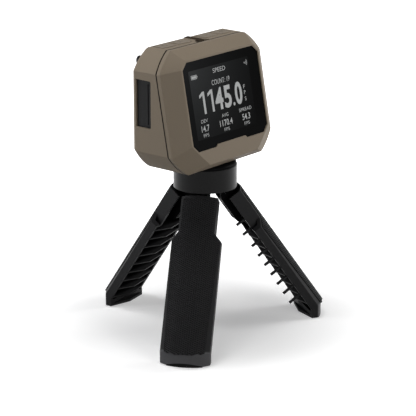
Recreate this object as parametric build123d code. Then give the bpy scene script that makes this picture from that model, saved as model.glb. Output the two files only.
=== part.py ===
from build123d import *
from math import acos, asin, atan, atan2, cos, degrees, hypot, radians, sin, sqrt
import os

# Pocket radar speed meter on a folding three-leg stand.
# Millimetres. +X is to the right of the screen, the screen faces -Y, +Z is up.
# The model is laid out about the stand's upright axis and moved once, at the end,
# so that the centre of its box on the floor is the origin.

# ---------------------------------------------------------------- stand: legs
LEG_AZIMUTHS = {"rear": 0.0, "front_left": 120.0, "front_right": -120.0}
FOOT_CORNER_R = 57.9
CUT_Z = 6.5
CORNER_Z = 0.5
LEG_HALF_W = 12.4
NECK_HALF_W = 9.1
LEG_ARC_R = 17.0
BAND_ARC_R = 18.0
FACE_WALL = 1.6
SIDE_WALL = 1.5
WALL_DEPTH = 3.95
V_DEPTH = 1.9
SHOULDER_TOP = 32.4
RIB_T = 0.9
RIB_PITCH = 6.5
RIB_COUNT = 9
RIB_FIRST = 30.2
RIB_STAGGERS = {"rear": 0.6, "front_left": 0.5, "front_right": 0.0}
FINGER_LONG = 5.0
FINGER_GROW = 0.25
FINGER_W = 1.5
FINGER_INSET = 0.6
BAND_IN = 3.6
BAND_V = 2.6
SOLE_T = 1.2
GUSSET_T = 1.0
ARCH_HALF_W = 9.3
ARCH_RISE = 2.0
NECK_ROUND = 1.2

# pivot of each leg and the hinge core inside its neck
PIVOT_R = 9.0
PIVOT_Z = 71.7
PIVOT_SET = 2.944
NECK_DROP = 2.94
PIN_R = 1.0
PIN_FIT = 0.05
BARREL_R = 2.3
CORE_HALF_W = 3.9
TONGUE_HALF_W = 1.9
HINGE_SIDE_GAP = 0.15
HINGE_ROUND_GAP = 0.4
CORE_BOTTOM = 33.6
CORE_PROUD = 3.0
CORE_END_R = 3.0
CORE_FIT = 0.05
KNUCKLE_R = 1.9
CORE_SCREW_R = 1.2
CORE_SCREW_HEAD_R = 2.2
CORE_SCREW_HEAD_T = 1.2
CORE_SCREW_SINK = 1.8
CORE_SCREW_COVER = 0.5
CORE_SCREWS_AT = (45.0, 37.6)
CORE_SCREW_FIT = 0.05

# foot pads
PAD_HALF_W = 9.0
PAD_FRONT_R = 26.0
PAD_FRONT_SET = 1.2
PAD_LONG = 6.4
PAD_PEG = 0.9
PAD_PEG_R = 1.4

# ---------------------------------------------------------------- stand: head
RING_R = 16.0
RING_BORE_R = 13.6
RING_BOTTOM = 74.4
RING_FIT = 0.08
BALL_Z = 111.2
SEAT_R = 30.0
PLATE_GAP = 0.3
TILT = 6.0
HUB_FLOOR_T = 1.3
HUB_RIM_TOP = 79.6
HUB_RIM_T = 1.6
WEB_BOTTOM = 71.2
RETAINER_T = 1.7
RETAINER_FIT = 0.05
STEM_R = 10.0
STEM_WALL = 1.2
STEM_FIT = 0.06
CLIP_T = 1.1
CLIP_R = 11.4
CLIP_GAP = 0.25
CUP_GAP = 0.3
CUP_T = 1.6
WASHER_T = 1.2
WASHER_R = 5.2
WASHER_GAP = 0.2
NUT_T = 1.9
NUT_R = 4.5
SCREW_R = 3.175
SCREW_FIT = 0.08
SLOT_GAP = 0.25
SCREW_TAIL = 0.1
PLATE_R = 16.0
PLATE_EDGE = 0.25
PLATE_ROUND = 1.8
PLATE_TOP_GAP = 0.3
PAD_T = 1.0
PAD_R = 10.8
PAD_FIT = 0.05

# -------------------------------------------------------------- meter housing
WIDTH = 77.0
HEIGHT = 60.0
BASE_Z = 88.3
REAR_Y = 14.1
CORNER = 10.0
CORNER_BULGE = 0.8
LEAN = 0.1875
SEAM_Y = -4.9
SEAM_GAP = 0.55
RIM = 2.2
LIP_Y = -14.0
GLASS_HALF_W = 28.75
GLASS_TOP = 24.7
GLASS_BOTTOM = -18.4
GLASS_CORNER = 3.4
GLASS_T = 1.2
GLASS_SINK = 0.4
GLASS_FIT = 0.08
LIP_W = 0.9
CHIN_DROP = 7.6
CHIN_HALF_W = 17.5
TAB_RISE = 1.2
TAB_HALF_W = 12.0
CASE_WALL = 2.0
BEZEL_WALL = 1.6
REAR_ROUND = 1.8
REAR_SLOPE = 1.1
GASKET_W = 1.2
GASKET_IN = 1.3
LEDGE = 1.4

PANEL_W = 50.0
PANEL_H = 37.0
PANEL_T = 1.6
PANEL_MID = 3.2
PANEL_CUT = 4.0

# sight rib and push buttons on top
SIGHT_HALF_W = 0.95
SIGHT_FLANK = 0.45
SIGHT_H = 0.8
SIGHT_SEAT = 0.4
SIGHT_FRONT = 0.5
SIGHT_BACK = 1.0
SIGHT_NOSE = 1.6
SIGHT_FIT = 0.05
BUTTON_INNER = 5.0
BUTTON_END = 2.1
BUTTON_SPACE = 2.2
BUTTON_D = 7.0
BUTTON_ROUND = 1.2
BUTTON_Y = 7.6
BUTTON_PROUD = 0.25
BUTTON_SIDE = 0.2
BUTTON_TRAVEL = 0.6
FLANGE_OUT = 0.7
FLANGE_T = 0.8
FLANGE_GAP = 0.05
DOME_R = 2.0
SWITCH_DROP = 4.6
DOME_H = 0.5
DOME_GAP = 0.1
SWITCH_STRIP_T = 0.6

# port door
DOOR_BACK = 2.3
DOOR_LONG = 9.7
DOOR_LOW = -7.7
DOOR_HIGH = 16.1
DOOR_SINK = 1.0
DOOR_T = 1.2
DOOR_SIDE = 0.15
DOOR_ROUND = 1.0
DOOR_FLOOR = 1.6
DOOR_PIN_R = 0.35
DOOR_PIN_FIT = 0.04
DOOR_PIN_SEAT = 1.0
NAIL_SET = 1.6
NAIL_W = 0.9
NAIL_DEEP = 0.3

PORT_Z = 4.2
PORT_W = 3.2
PORT_H = 9.0
PORT_LONG = 6.8
PORT_FIT = 0.15

# inner pieces
SCREW_X = 31.8
SCREW_Z = 18.6
CASE_SCREW_R = 1.0
CASE_SCREW_HEAD_R = 1.9
CASE_SCREW_HEAD_T = 1.3
CASE_SCREW_BITE = 4.0
CASE_SCREW_FIT = 0.05
BOSS_R = 2.9
HEAD_FIT = 0.15

BOARD_HALF_W = 29.0
BOARD_LOW = -20.6
BOARD_HIGH = 21.6
BOARD_T = 1.2
BOARD_Y = 0.9
POST_X = 25.8
POST_Z = 16.5
POST_R = 1.9
BATTERY_W = 40.0
BATTERY_H = 29.0
BATTERY_T = 6.2
BATTERY_Z = -1.5
LAYER_GAP = 0.1
RADAR_W = 46.0
RADAR_H = 32.0
RADAR_T = 1.0
WINDOW_W = 54.0
WINDOW_H = 36.0
WINDOW_T = 1.3
WINDOW_PROUD = 0.4
WINDOW_ROUND = 4.0
WINDOW_FIT = 0.1
BUZZER_R = 4.5
BUZZER_T = 2.4
BUZZER_X = 18.0
BUZZER_Z = -12.0

INSERT_R = 5.0
INSERT_LONG = 7.2
INSERT_FLANGE_R = 6.4
INSERT_FLANGE_T = 1.2
INSERT_BOSS_R = 8.0
INSERT_FIT = 0.05
SCREW_REACH = 5.4

POST_OUT_SIDE = 8.3
POST_OUT_Z = 23.4
LANYARD_R = 1.5
LANYARD_HEAD_R = 2.2
LANYARD_LONG = 2.6
LANYARD_HEAD_T = 1.0

# ------------------------------------------------------------- derived values
EPS = 0.01
FAR = 200.0
LEG_REACH = FOOT_CORNER_R - PIVOT_R
LEG_RISE = PIVOT_Z - CUT_Z
SPREAD = degrees(acos(PIVOT_SET / hypot(LEG_REACH, LEG_RISE)) - atan2(LEG_RISE, LEG_REACH))
LEG_SIN = sin(radians(SPREAD))
LEG_COS = cos(radians(SPREAD))
NECK_TOP = PIVOT_Z * LEG_COS - PIVOT_R * LEG_SIN - NECK_DROP
ARC_DROP = sqrt(LEG_ARC_R**2 - LEG_HALF_W**2)
CORNER_N = FOOT_CORNER_R * LEG_COS + CUT_Z * LEG_SIN
CUT_T = CUT_Z * LEG_COS - FOOT_CORNER_R * LEG_SIN
ARC_N = CORNER_N - ARC_DROP
INNER_N = CORNER_N - WALL_DEPTH
BAND_MID_R = FOOT_CORNER_R - sqrt(BAND_ARC_R**2 - LEG_HALF_W**2)
FOOT_FRONT_R = BAND_MID_R + BAND_ARC_R
AXIS_Y = -(FOOT_FRONT_R - FOOT_CORNER_R / 2 - LEG_HALF_W * sqrt(3) / 2) / 2
BUTTON_W = (WIDTH / 2 - CORNER - BUTTON_END - BUTTON_INNER - BUTTON_SPACE) / 2
BUTTON_X = (BUTTON_INNER + BUTTON_W / 2, BUTTON_INNER + BUTTON_SPACE + BUTTON_W * 1.5)
POST_OUT_X = WIDTH / 2 - POST_OUT_SIDE
MID_Z = BASE_Z + HEIGHT / 2
TOP_Z = BASE_Z + HEIGHT
LEAN_DEG = degrees(atan(LEAN))
LEAN_COS = cos(radians(LEAN_DEG))

os.makedirs("parts", exist_ok=True)
NODES = {}


def keep(name, shape):
    NODES[name] = shape


def tube(r_out, r_in, z0, z1):
    body = Pos(0, 0, z0) * extrude(Circle(r_out), z1 - z0)
    hole = Pos(0, 0, z0 - 1) * extrude(Circle(r_in), z1 - z0 + 2)
    return body - hole


def rod(radius, z0, z1):
    return Pos(0, 0, z0) * extrude(Circle(radius), z1 - z0)


def box(x0, x1, y0, y1, z0, z1):
    middle = Pos((x0 + x1) / 2, (y0 + y1) / 2, (z0 + z1) / 2)
    return middle * Box(x1 - x0, y1 - y0, z1 - z0)


def ball(radius):
    return Pos(0, 0, BALL_Z) * Sphere(radius)


# ------------------------------------------------------------------ one leg
# The leg plane: x runs across the leg, y out of its face, z up along it.
LEG = Plane(origin=(0, 0, 0), x_dir=(1, 0, 0), z_dir=(0, -LEG_SIN, LEG_COS))


def leg_bar(half_w, arc_r, inner_n, v_depth, t0, t1):
    drop = sqrt(arc_r**2 - half_w**2)
    left = (-half_w, ARC_N + drop)
    right = (half_w, ARC_N + drop)
    with BuildSketch() as section:
        with BuildLine():
            ThreePointArc(left, (0, ARC_N + arc_r), right)
            Line(right, (half_w, inner_n))
            Line((half_w, inner_n), (0, inner_n - v_depth))
            Line((0, inner_n - v_depth), (-half_w, inner_n))
            Line((-half_w, inner_n), left)
        make_face()
    return LEG * Pos(0, 0, t0) * extrude(section.sketch, t1 - t0)


def leg_slab(t0, t1):
    return LEG * box(-FAR / 4, FAR / 4, -FAR, FAR, t0, t1)


def in_leg_plane(points, half_w):
    # points are (n, t) pairs along the leg, spread evenly to both sides
    with BuildSketch(Plane.YZ) as side:
        with BuildLine():
            Polyline(*points, close=True)
        make_face()
    return LEG * extrude(side.sketch, half_w, both=True)


def upright_arc(arc_r, middle_r, z0, z1):
    return Pos(0, middle_r, z0) * extrude(Circle(arc_r), z1 - z0)


def foot_block(half_w, arc_r, band_in, v_depth, z0, z1):
    drop = sqrt(arc_r**2 - half_w**2)
    back = FOOT_CORNER_R - band_in
    with BuildSketch() as plan:
        with BuildLine():
            ThreePointArc(
                (-half_w, BAND_MID_R + drop),
                (0, BAND_MID_R + arc_r),
                (half_w, BAND_MID_R + drop),
            )
            Line((half_w, BAND_MID_R + drop), (half_w, back))
            Line((half_w, back), (0, back - v_depth))
            Line((0, back - v_depth), (-half_w, back))
            Line((-half_w, back), (-half_w, BAND_MID_R + drop))
        make_face()
    return Pos(0, 0, z0) * extrude(plan.sketch, z1 - z0)


def rib_heights(stagger):
    return [RIB_FIRST - (stagger + i) * RIB_PITCH for i in range(RIB_COUNT)]


def leg_shell(name):
    stagger = RIB_STAGGERS[name]
    inner_r = LEG_ARC_R - FACE_WALL
    shoulder = SHOULDER_TOP - (LEG_HALF_W - NECK_HALF_W)
    low = -FAR / 4
    # outer shell of the broad part, with its shoulders sloping to the neck
    body = leg_bar(LEG_HALF_W, LEG_ARC_R, INNER_N, 0, low, SHOULDER_TOP)
    body -= leg_bar(LEG_HALF_W - SIDE_WALL, inner_r, INNER_N - FAR, 0, low - 1, FAR)
    for side in (1, -1):
        with BuildSketch(Plane.XZ) as slope:
            with BuildLine():
                Polyline(
                    (side * NECK_HALF_W, SHOULDER_TOP + EPS),
                    (side * (LEG_HALF_W + 1), SHOULDER_TOP + EPS),
                    (side * (LEG_HALF_W + 1), shoulder - 1),
                    close=True,
                )
            make_face()
        body -= LEG * extrude(slope.sketch, FAR / 2, both=True)
    neck = leg_bar(NECK_HALF_W, LEG_ARC_R, INNER_N, 0, shoulder, NECK_TOP)
    neck -= leg_bar(NECK_HALF_W - SIDE_WALL, inner_r, INNER_N - FAR, 0, 0, FAR)
    body += neck
    # web that closes the shoulder between the neck walls and the broad walls
    web = leg_bar(LEG_HALF_W, LEG_ARC_R, INNER_N, 0, shoulder - RIB_T, shoulder)
    web -= leg_bar(NECK_HALF_W - SIDE_WALL, inner_r, INNER_N - FAR, 0, 0, FAR)
    body += web
    # cross ribs with a shallow V edge
    last = 0.0
    for t in rib_heights(stagger):
        inside = SIDE_WALL + EPS
        if t > shoulder:
            continue
        rib = leg_bar(LEG_HALF_W - EPS, LEG_ARC_R - EPS, INNER_N, V_DEPTH, t - RIB_T, t)
        if t - RIB_T > CUT_T - inside:
            body += rib
            last = t
    # upright band and sole at the foot
    keep_low = leg_slab(low, last - RIB_T + EPS)
    foot = foot_block(LEG_HALF_W, BAND_ARC_R, BAND_IN, BAND_V, CORNER_Z, FAR / 8)
    hollow = foot_block(
        LEG_HALF_W - SIDE_WALL,
        BAND_ARC_R - FACE_WALL,
        BAND_IN + FAR / 8,
        0,
        CORNER_Z + SOLE_T,
        FAR / 8 + 1,
    )
    foot = (foot & keep_low) - hollow
    bounds = upright_arc(BAND_ARC_R, BAND_MID_R, CORNER_Z, FAR / 2)
    bounds += box(-FAR / 8, FAR / 8, -FAR, BAND_MID_R, CORNER_Z, FAR / 2)
    body = (body & bounds) + (foot & leg_reach(low))
    # gusset from the last rib down to the sole
    tie = box(-LEG_HALF_W + EPS, LEG_HALF_W - EPS, 0, GUSSET_T, -FAR / 20, FAR / 20)
    tie = Pos(0, FOOT_CORNER_R - BAND_IN, CORNER_Z + SOLE_T) * Rot(SPREAD, 0, 0) * tie
    tie = tie & foot_block(
        LEG_HALF_W, BAND_ARC_R - EPS, BAND_IN, BAND_V, CORNER_Z + SOLE_T / 2, FAR / 8
    )
    body += tie & keep_low & leg_reach(low)
    # arch in the lower edge of the band, filled by the pad
    with BuildSketch(Plane.XZ) as arch:
        with BuildLine():
            ThreePointArc(
                (-ARCH_HALF_W, CORNER_Z), (0, CORNER_Z + ARCH_RISE), (ARCH_HALF_W, CORNER_Z)
            )
            Line((ARCH_HALF_W, CORNER_Z), (-ARCH_HALF_W, CORNER_Z))
        make_face()
    cut = extrude(arch.sketch, FAR / 2, both=True)
    front = box(-FAR, FAR, FOOT_FRONT_R - FACE_WALL - PAD_FRONT_SET, FAR, 0, CUT_Z)
    body -= cut & front
    # fingers that pass between the neighbour's ribs when the legs are closed
    if name == "front_right":
        for i, t in enumerate([RIB_FIRST + RIB_PITCH] + rib_heights(stagger)[:-1]):
            x1 = (LEG_HALF_W if t < shoulder else NECK_HALF_W) - FINGER_INSET
            low_n = INNER_N - FINGER_LONG - i * FINGER_GROW
            finger = box(x1 - FINGER_W, x1, low_n, INNER_N + 1, t - RIB_T, t)
            body += LEG * finger
    body -= core_screw_holes()
    body -= pad_pegs(PAD_PEG_R + CORE_SCREW_FIT)
    return body


def leg_reach(low):
    # everything under the outer face of the slanting part
    return leg_bar(LEG_HALF_W, LEG_ARC_R, INNER_N - FAR / 8, 0, low, SHOULDER_TOP)


def core_screw_place(t):
    # seat of the screw head in the core, looking out towards the leg's face
    return LEG * Pos(0, INNER_N - CORE_PROUD + CORE_SCREW_SINK, t) * Rot(-90, 0, 0)


def core_screw_reach():
    # from the head's seat to the screw's tip inside the leg's outer wall
    face_n = ARC_N + LEG_ARC_R - CORE_SCREW_COVER
    return face_n - (INNER_N - CORE_PROUD + CORE_SCREW_SINK)


def core_screw_holes():
    holes = None
    for t in CORE_SCREWS_AT:
        place = core_screw_place(t)
        hole = place * extrude(
            Circle(CORE_SCREW_R + CORE_SCREW_FIT), core_screw_reach() + CORE_SCREW_FIT
        )
        holes = hole if holes is None else holes + hole
    return holes


def core_screws():
    out = []
    for t in CORE_SCREWS_AT:
        place = core_screw_place(t)
        shank = place * extrude(Circle(CORE_SCREW_R), core_screw_reach())
        head = place * extrude(Circle(CORE_SCREW_HEAD_R), -CORE_SCREW_HEAD_T)
        slot = place * Pos(0, 0, -CORE_SCREW_HEAD_T) * Box(
            2 * CORE_SCREW_R, CORE_SCREW_R / 2, CORE_SCREW_HEAD_T
        )
        out.append((shank + head) - slot)
    return out


def pivot_cylinder(radius, half_w):
    return Pos(0, PIVOT_R, PIVOT_Z) * Rot(0, 90, 0) * extrude(Circle(radius), half_w, both=True)


def leg_core():
    face_n = ARC_N + LEG_ARC_R - FACE_WALL - CORE_FIT
    inner_n = INNER_N - CORE_PROUD
    pivot_n = PIVOT_R * LEG_COS + PIVOT_Z * LEG_SIN
    pivot_t = PIVOT_Z * LEG_COS - PIVOT_R * LEG_SIN
    top_t = pivot_t - BARREL_R / 2
    knuckle_n = ARC_N + LEG_ARC_R - KNUCKLE_R
    bar = in_leg_plane(
        [
            (inner_n, CORE_BOTTOM + CORE_END_R),
            (inner_n, pivot_t - BARREL_R),
            (pivot_n - BARREL_R, pivot_t),
            (pivot_n, pivot_t),
            (face_n, NECK_TOP),
            (face_n, CORE_BOTTOM),
            (inner_n + CORE_END_R, CORE_BOTTOM),
        ],
        CORE_HALF_W,
    )
    end = LEG * Pos(0, inner_n + CORE_END_R, CORE_BOTTOM + CORE_END_R)
    bar += end * Rot(0, 90, 0) * extrude(Circle(CORE_END_R), CORE_HALF_W, both=True)
    bar += pivot_cylinder(BARREL_R, CORE_HALF_W)
    # rounded knuckle that fills the top of the neck out to the leg's face
    knuckle = in_leg_plane(
        [
            (pivot_n, top_t - BARREL_R),
            (pivot_n, pivot_t),
            (knuckle_n - KNUCKLE_R, NECK_TOP + 1.0 * KNUCKLE_R),
            (knuckle_n, NECK_TOP + 1.0 * KNUCKLE_R),
            (knuckle_n + KNUCKLE_R, NECK_TOP + CORE_FIT),
            (pivot_n + BARREL_R, NECK_TOP - BARREL_R),
        ],
        CORE_HALF_W,
    )
    knuckle -= leg_slab(0, NECK_TOP + CORE_FIT)
    bar += knuckle
    bar += (
        LEG
        * Pos(0, knuckle_n, NECK_TOP + CORE_FIT)
        * Rot(0, 90, 0)
        * extrude(Circle(KNUCKLE_R), CORE_HALF_W, both=True)
    ) - leg_slab(0, NECK_TOP + CORE_FIT)
    # stay inside the curved face of the neck
    limit = leg_bar(
        CORE_HALF_W, LEG_ARC_R - FACE_WALL - CORE_FIT, INNER_N - FAR / 8, 0, 0, NECK_TOP + CORE_FIT
    )
    limit += leg_slab(NECK_TOP + CORE_FIT - EPS, FAR)
    bar = bar & limit
    bar -= box(-FAR, FAR, -FAR, FAR, RING_BOTTOM - HINGE_ROUND_GAP, FAR)
    # slot for the hub's tongue
    slot_w = TONGUE_HALF_W + HINGE_SIDE_GAP
    slot_low = pivot_t - BARREL_R - HINGE_ROUND_GAP
    bar -= LEG * box(-slot_w, slot_w, -FAR, FAR, slot_low, FAR)
    bar -= pivot_cylinder(PIN_R + PIN_FIT, CORE_HALF_W + 1)
    for t in CORE_SCREWS_AT:
        place = core_screw_place(t)
        bar -= place * extrude(Circle(CORE_SCREW_R + CORE_SCREW_FIT), FAR / 4)
        bar -= place * extrude(Circle(CORE_SCREW_HEAD_R + CORE_SCREW_FIT), -FAR / 4)
    return bar


def pad_plan(half_w, grow):
    front = FOOT_FRONT_R - PAD_FRONT_SET
    drop = PAD_FRONT_R - sqrt(PAD_FRONT_R**2 - half_w**2)
    with BuildSketch() as plan:
        with BuildLine():
            ThreePointArc((-half_w, front - drop), (0, front), (half_w, front - drop))
            Line((half_w, front - drop), (half_w, front - PAD_LONG))
            Line((half_w, front - PAD_LONG), (-half_w, front - PAD_LONG))
            Line((-half_w, front - PAD_LONG), (-half_w, front - drop))
        make_face()
    return plan.sketch if grow == 0 else offset(plan.sketch, grow)


def pad_pegs(radius):
    y = FOOT_FRONT_R - PAD_FRONT_SET - PAD_LONG / 2 - PAD_PEG_R
    pegs = None
    for x in (-PAD_HALF_W / 2, PAD_HALF_W / 2):
        peg = Pos(x, y, CORNER_Z - EPS) * extrude(Circle(radius), PAD_PEG + EPS)
        peg -= box(-FAR, FAR, -FAR, FAR, -FAR, CORNER_Z)
        pegs = peg if pegs is None else pegs + peg
    return pegs


def foot_pad():
    pad = extrude(pad_plan(PAD_HALF_W, 0), CORNER_Z)
    lip = Pos(0, 0, CORNER_Z) * extrude(pad_plan(PAD_HALF_W, 0), ARCH_RISE)
    with BuildSketch(Plane.XZ) as arch:
        with BuildLine():
            half = ARCH_HALF_W - PAD_FRONT_SET
            rise = ARCH_RISE - CORE_FIT
            ThreePointArc((-half, CORNER_Z), (0, CORNER_Z + rise), (half, CORNER_Z))
            Line((half, CORNER_Z), (-half, CORNER_Z))
        make_face()
    front = box(-FAR, FAR, FOOT_FRONT_R - FACE_WALL - PAD_FRONT_SET + CORE_FIT, FAR, 0, CUT_Z)
    lip = lip & extrude(arch.sketch, FAR / 2, both=True) & front
    return pad + lip + pad_pegs(PAD_PEG_R)


for leg, turn in LEG_AZIMUTHS.items():
    spin = Rot(0, 0, turn)
    keep(f"leg_{leg}_shell", spin * leg_shell(leg))
    keep(f"leg_{leg}_core", spin * leg_core())
    keep(f"leg_{leg}_pin", spin * pivot_cylinder(PIN_R, CORE_HALF_W - CORE_FIT))
    keep(f"leg_{leg}_screws", Compound([spin * s for s in core_screws()]))
    keep(f"leg_{leg}_foot", spin * foot_pad())


# --------------------------------------------------------------- stand: head
def hub():
    rim_r = RING_BORE_R - RING_FIT
    body = rod(rim_r, RING_BOTTOM, HUB_RIM_TOP)
    body -= rod(rim_r - HUB_RIM_T, RING_BOTTOM + HUB_FLOOR_T, FAR)
    for turn in LEG_AZIMUTHS.values():
        web = box(-TONGUE_HALF_W, TONGUE_HALF_W, 0, PIVOT_R, WEB_BOTTOM, RING_BOTTOM + EPS)
        tongue = web + pivot_cylinder(BARREL_R, TONGUE_HALF_W)
        root = box(
            -TONGUE_HALF_W, TONGUE_HALF_W, 0, PIVOT_R + BARREL_R, PIVOT_Z, RING_BOTTOM + EPS
        )
        tongue += root
        tongue -= pivot_cylinder(PIN_R + PIN_FIT, TONGUE_HALF_W + 1)
        body += Rot(0, 0, turn) * tongue
    return body


def seat_cup():
    top = RING_BORE_R - CUP_GAP
    low = HUB_RIM_TOP + CUP_GAP
    body = rod(top, low, BALL_Z - sqrt(SEAT_R**2 - top**2) + CUP_T)
    body += rod(STEM_R, HUB_RIM_TOP - RETAINER_T - CLIP_GAP - CLIP_T, low)
    body -= ball(SEAT_R)
    under = rod(STEM_R - STEM_WALL, -FAR, FAR) - ball(SEAT_R + CUP_T)
    under = under & box(-FAR, FAR, -FAR, FAR, 0, BALL_Z - SEAT_R + CUP_T)
    body -= under
    sweep = (SEAT_R + CUP_T) * sin(radians(TILT)) + SLOT_GAP
    with BuildSketch() as slot:
        SlotCenterToCenter(2 * sweep, 2 * (SCREW_R + SLOT_GAP), rotation=90)
    body -= Pos(0, 0, HUB_RIM_TOP - RETAINER_T) * extrude(slot.sketch, FAR)
    return body


def level_plate():
    under_r = SEAT_R - PLATE_GAP
    top = BASE_Z - PLATE_TOP_GAP
    body = rod(PLATE_R - PLATE_EDGE, BALL_Z - SEAT_R - 1, top) & ball(under_r)
    body = fillet(body.edges().filter_by(GeomType.CIRCLE).sort_by(Axis.Z)[-1], PLATE_ROUND)
    body -= rod(PAD_R + PAD_FIT, BASE_Z - PAD_T, FAR)
    body -= rod(SCREW_R + SCREW_FIT, 0, FAR)
    return body


def clamp_washer():
    top_r = SEAT_R + CUP_T + WASHER_GAP
    body = rod(WASHER_R, BALL_Z - top_r - WASHER_T, BALL_Z - top_r + CUP_T) - ball(top_r)
    return body - rod(SCREW_R + SCREW_FIT, 0, FAR)


NUT_TOP = BALL_Z - SEAT_R - CUP_T - WASHER_GAP - WASHER_T
NUT_LOW = NUT_TOP - NUT_T


def clamp_nut():
    body = Pos(0, 0, NUT_LOW) * extrude(RegularPolygon(NUT_R, 6), NUT_T)
    return body - rod(SCREW_R + SCREW_FIT, 0, FAR)


def lock_ring():
    body = rod(RING_R, RING_BOTTOM, BASE_Z) - ball(SEAT_R)
    body -= rod(RING_BORE_R, 0, FAR)
    return body


keep("hub", hub())
keep("lock_ring", lock_ring())
keep("seat_cup", seat_cup())
retainer_low = HUB_RIM_TOP - RETAINER_T
hub_bore = RING_BORE_R - RING_FIT - HUB_RIM_T
keep("hub_retainer", tube(hub_bore - RETAINER_FIT, STEM_R + STEM_FIT, retainer_low, HUB_RIM_TOP))
clip_top = retainer_low - CLIP_GAP
keep("pan_clip", tube(CLIP_R, STEM_R + RETAINER_FIT / 2, clip_top - CLIP_T, clip_top))
keep("level_plate", level_plate())
keep("plate_pad", tube(PAD_R, SCREW_R + SCREW_FIT, BASE_Z - PAD_T, BASE_Z))
keep("clamp_washer", clamp_washer())
keep("clamp_nut", clamp_nut())
keep("camera_screw", rod(SCREW_R, NUT_LOW - SCREW_TAIL, BASE_Z + SCREW_REACH))


# -------------------------------------------------------------- meter housing
def leaning(y_at_mid):
    # plane through the housing's middle height, leaning back, facing the user
    return Plane(
        origin=(0, y_at_mid, MID_Z),
        x_dir=(1, 0, 0),
        z_dir=(0, -cos(radians(LEAN_DEG)), sin(radians(LEAN_DEG))),
    )


def eight(half_w, top, low, cut_top, cut_low, bulge, low_half_w=None):
    # eight-sided outline; the corner edges bow out a little
    floor_w = half_w - cut_low if low_half_w is None else low_half_w
    pts = [
        (half_w - cut_top, top),
        (half_w, top - cut_top),
        (half_w, low + cut_low),
        (floor_w, low),
        (-floor_w, low),
        (-half_w, low + cut_low),
        (-half_w, top - cut_top),
        (-half_w + cut_top, top),
    ]
    with BuildSketch() as outline:
        with BuildLine():
            for i, p in enumerate(pts):
                q = pts[(i + 1) % len(pts)]
                if i % 2 == 0 and bulge > 0:
                    mid = ((p[0] + q[0]) / 2, (p[1] + q[1]) / 2)
                    long = hypot(mid[0], mid[1])
                    out = (mid[0] * (1 + bulge / long), mid[1] * (1 + bulge / long))
                    ThreePointArc(p, out, q)
                else:
                    Line(p, q)
        make_face()
    return outline.sketch


def case_outline(inset):
    return eight(
        WIDTH / 2 - inset,
        HEIGHT / 2 - inset,
        -HEIGHT / 2 + inset,
        CORNER - inset * 0.6,
        CORNER - inset * 0.6,
        CORNER_BULGE,
    )


def prism(inset, y0, y1):
    # the housing's outline, drawn out from y0 to y1
    return Pos(0, y1, MID_Z) * Rot(90, 0, 0) * extrude(case_outline(inset), y1 - y0)


def front_of(y_at_mid):
    # everything in front of a leaning plane
    return leaning(y_at_mid) * box(-FAR, FAR, -FAR, FAR, 0, FAR)


def behind(y_at_mid):
    return leaning(y_at_mid) * box(-FAR, FAR, -FAR, FAR, -FAR, 0)


def rear_box(x0, x1, z0, z1, y0, y1):
    return box(x0, x1, y0, y1, MID_Z + z0, MID_Z + z1)


def round_rect(width, height, radius, y0, y1):
    flat = RectangleRounded(width, height, radius)
    return Pos(0, y1, MID_Z) * Rot(90, 0, 0) * extrude(flat, y1 - y0)


def rear_rod(x, z, radius, y0, y1):
    return Pos(x, y1, MID_Z + z) * Rot(90, 0, 0) * extrude(Circle(radius), y1 - y0)


SCREW_SPOTS = [(sx * SCREW_X, sz * SCREW_Z) for sx in (1, -1) for sz in (1, -1)]
POST_SPOTS = [(sx * POST_X, sz * POST_Z) for sx in (1, -1) for sz in (1, -1)]
BUTTON_SPOTS = [-BUTTON_X[1], -BUTTON_X[0], BUTTON_X[0], BUTTON_X[1]]
INNER_Y = REAR_Y - CASE_WALL
DOOR_Y1 = REAR_Y - DOOR_BACK
DOOR_Y0 = DOOR_Y1 - DOOR_LONG
DOOR_X = -WIDTH / 2 + DOOR_SINK
DOOR_PIN_X = DOOR_X + DOOR_T / 2
DOOR_PIN_Y = DOOR_Y1 - DOOR_SIDE - DOOR_T / 2
BOARD_BACK = BOARD_Y + BOARD_T
HEAD_SEAT_Y = REAR_Y - CASE_SCREW_HEAD_T - HEAD_FIT


def button_prism(x, grow, z0, z1):
    flat = RectangleRounded(BUTTON_W + 2 * grow, BUTTON_D + 2 * grow, BUTTON_ROUND)
    return Pos(x, BUTTON_Y, z0) * extrude(flat, z1 - z0)


def sight_rib():
    y0 = SEAM_Y + LEAN * HEIGHT / 2 + SIGHT_FRONT
    y1 = REAR_Y - SIGHT_BACK
    low = TOP_Z - SIGHT_SEAT
    high = TOP_Z + SIGHT_H
    with BuildSketch(Plane.YZ) as side:
        with BuildLine():
            Polyline(
                (y0, low),
                (y0, TOP_Z),
                (y0 + SIGHT_NOSE, high),
                (y1 - SIGHT_NOSE, high),
                (y1, TOP_Z),
                (y1, low),
                close=True,
            )
        make_face()
    with BuildSketch(Plane.XZ) as section:
        with BuildLine():
            Polyline(
                (-SIGHT_HALF_W, low),
                (-SIGHT_HALF_W, TOP_Z),
                (-SIGHT_HALF_W + SIGHT_FLANK, high),
                (SIGHT_HALF_W - SIGHT_FLANK, high),
                (SIGHT_HALF_W, TOP_Z),
                (SIGHT_HALF_W, low),
                close=True,
            )
        make_face()
    return extrude(side.sketch, FAR / 4, both=True) & extrude(section.sketch, FAR / 4, both=True)


def sight_seat():
    return box(
        -SIGHT_HALF_W - SIGHT_FIT,
        SIGHT_HALF_W + SIGHT_FIT,
        SEAM_Y + LEAN * HEIGHT / 2 + SIGHT_FRONT - SIGHT_FIT,
        REAR_Y - SIGHT_BACK + SIGHT_FIT,
        TOP_Z - SIGHT_SEAT,
        FAR,
    )


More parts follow.
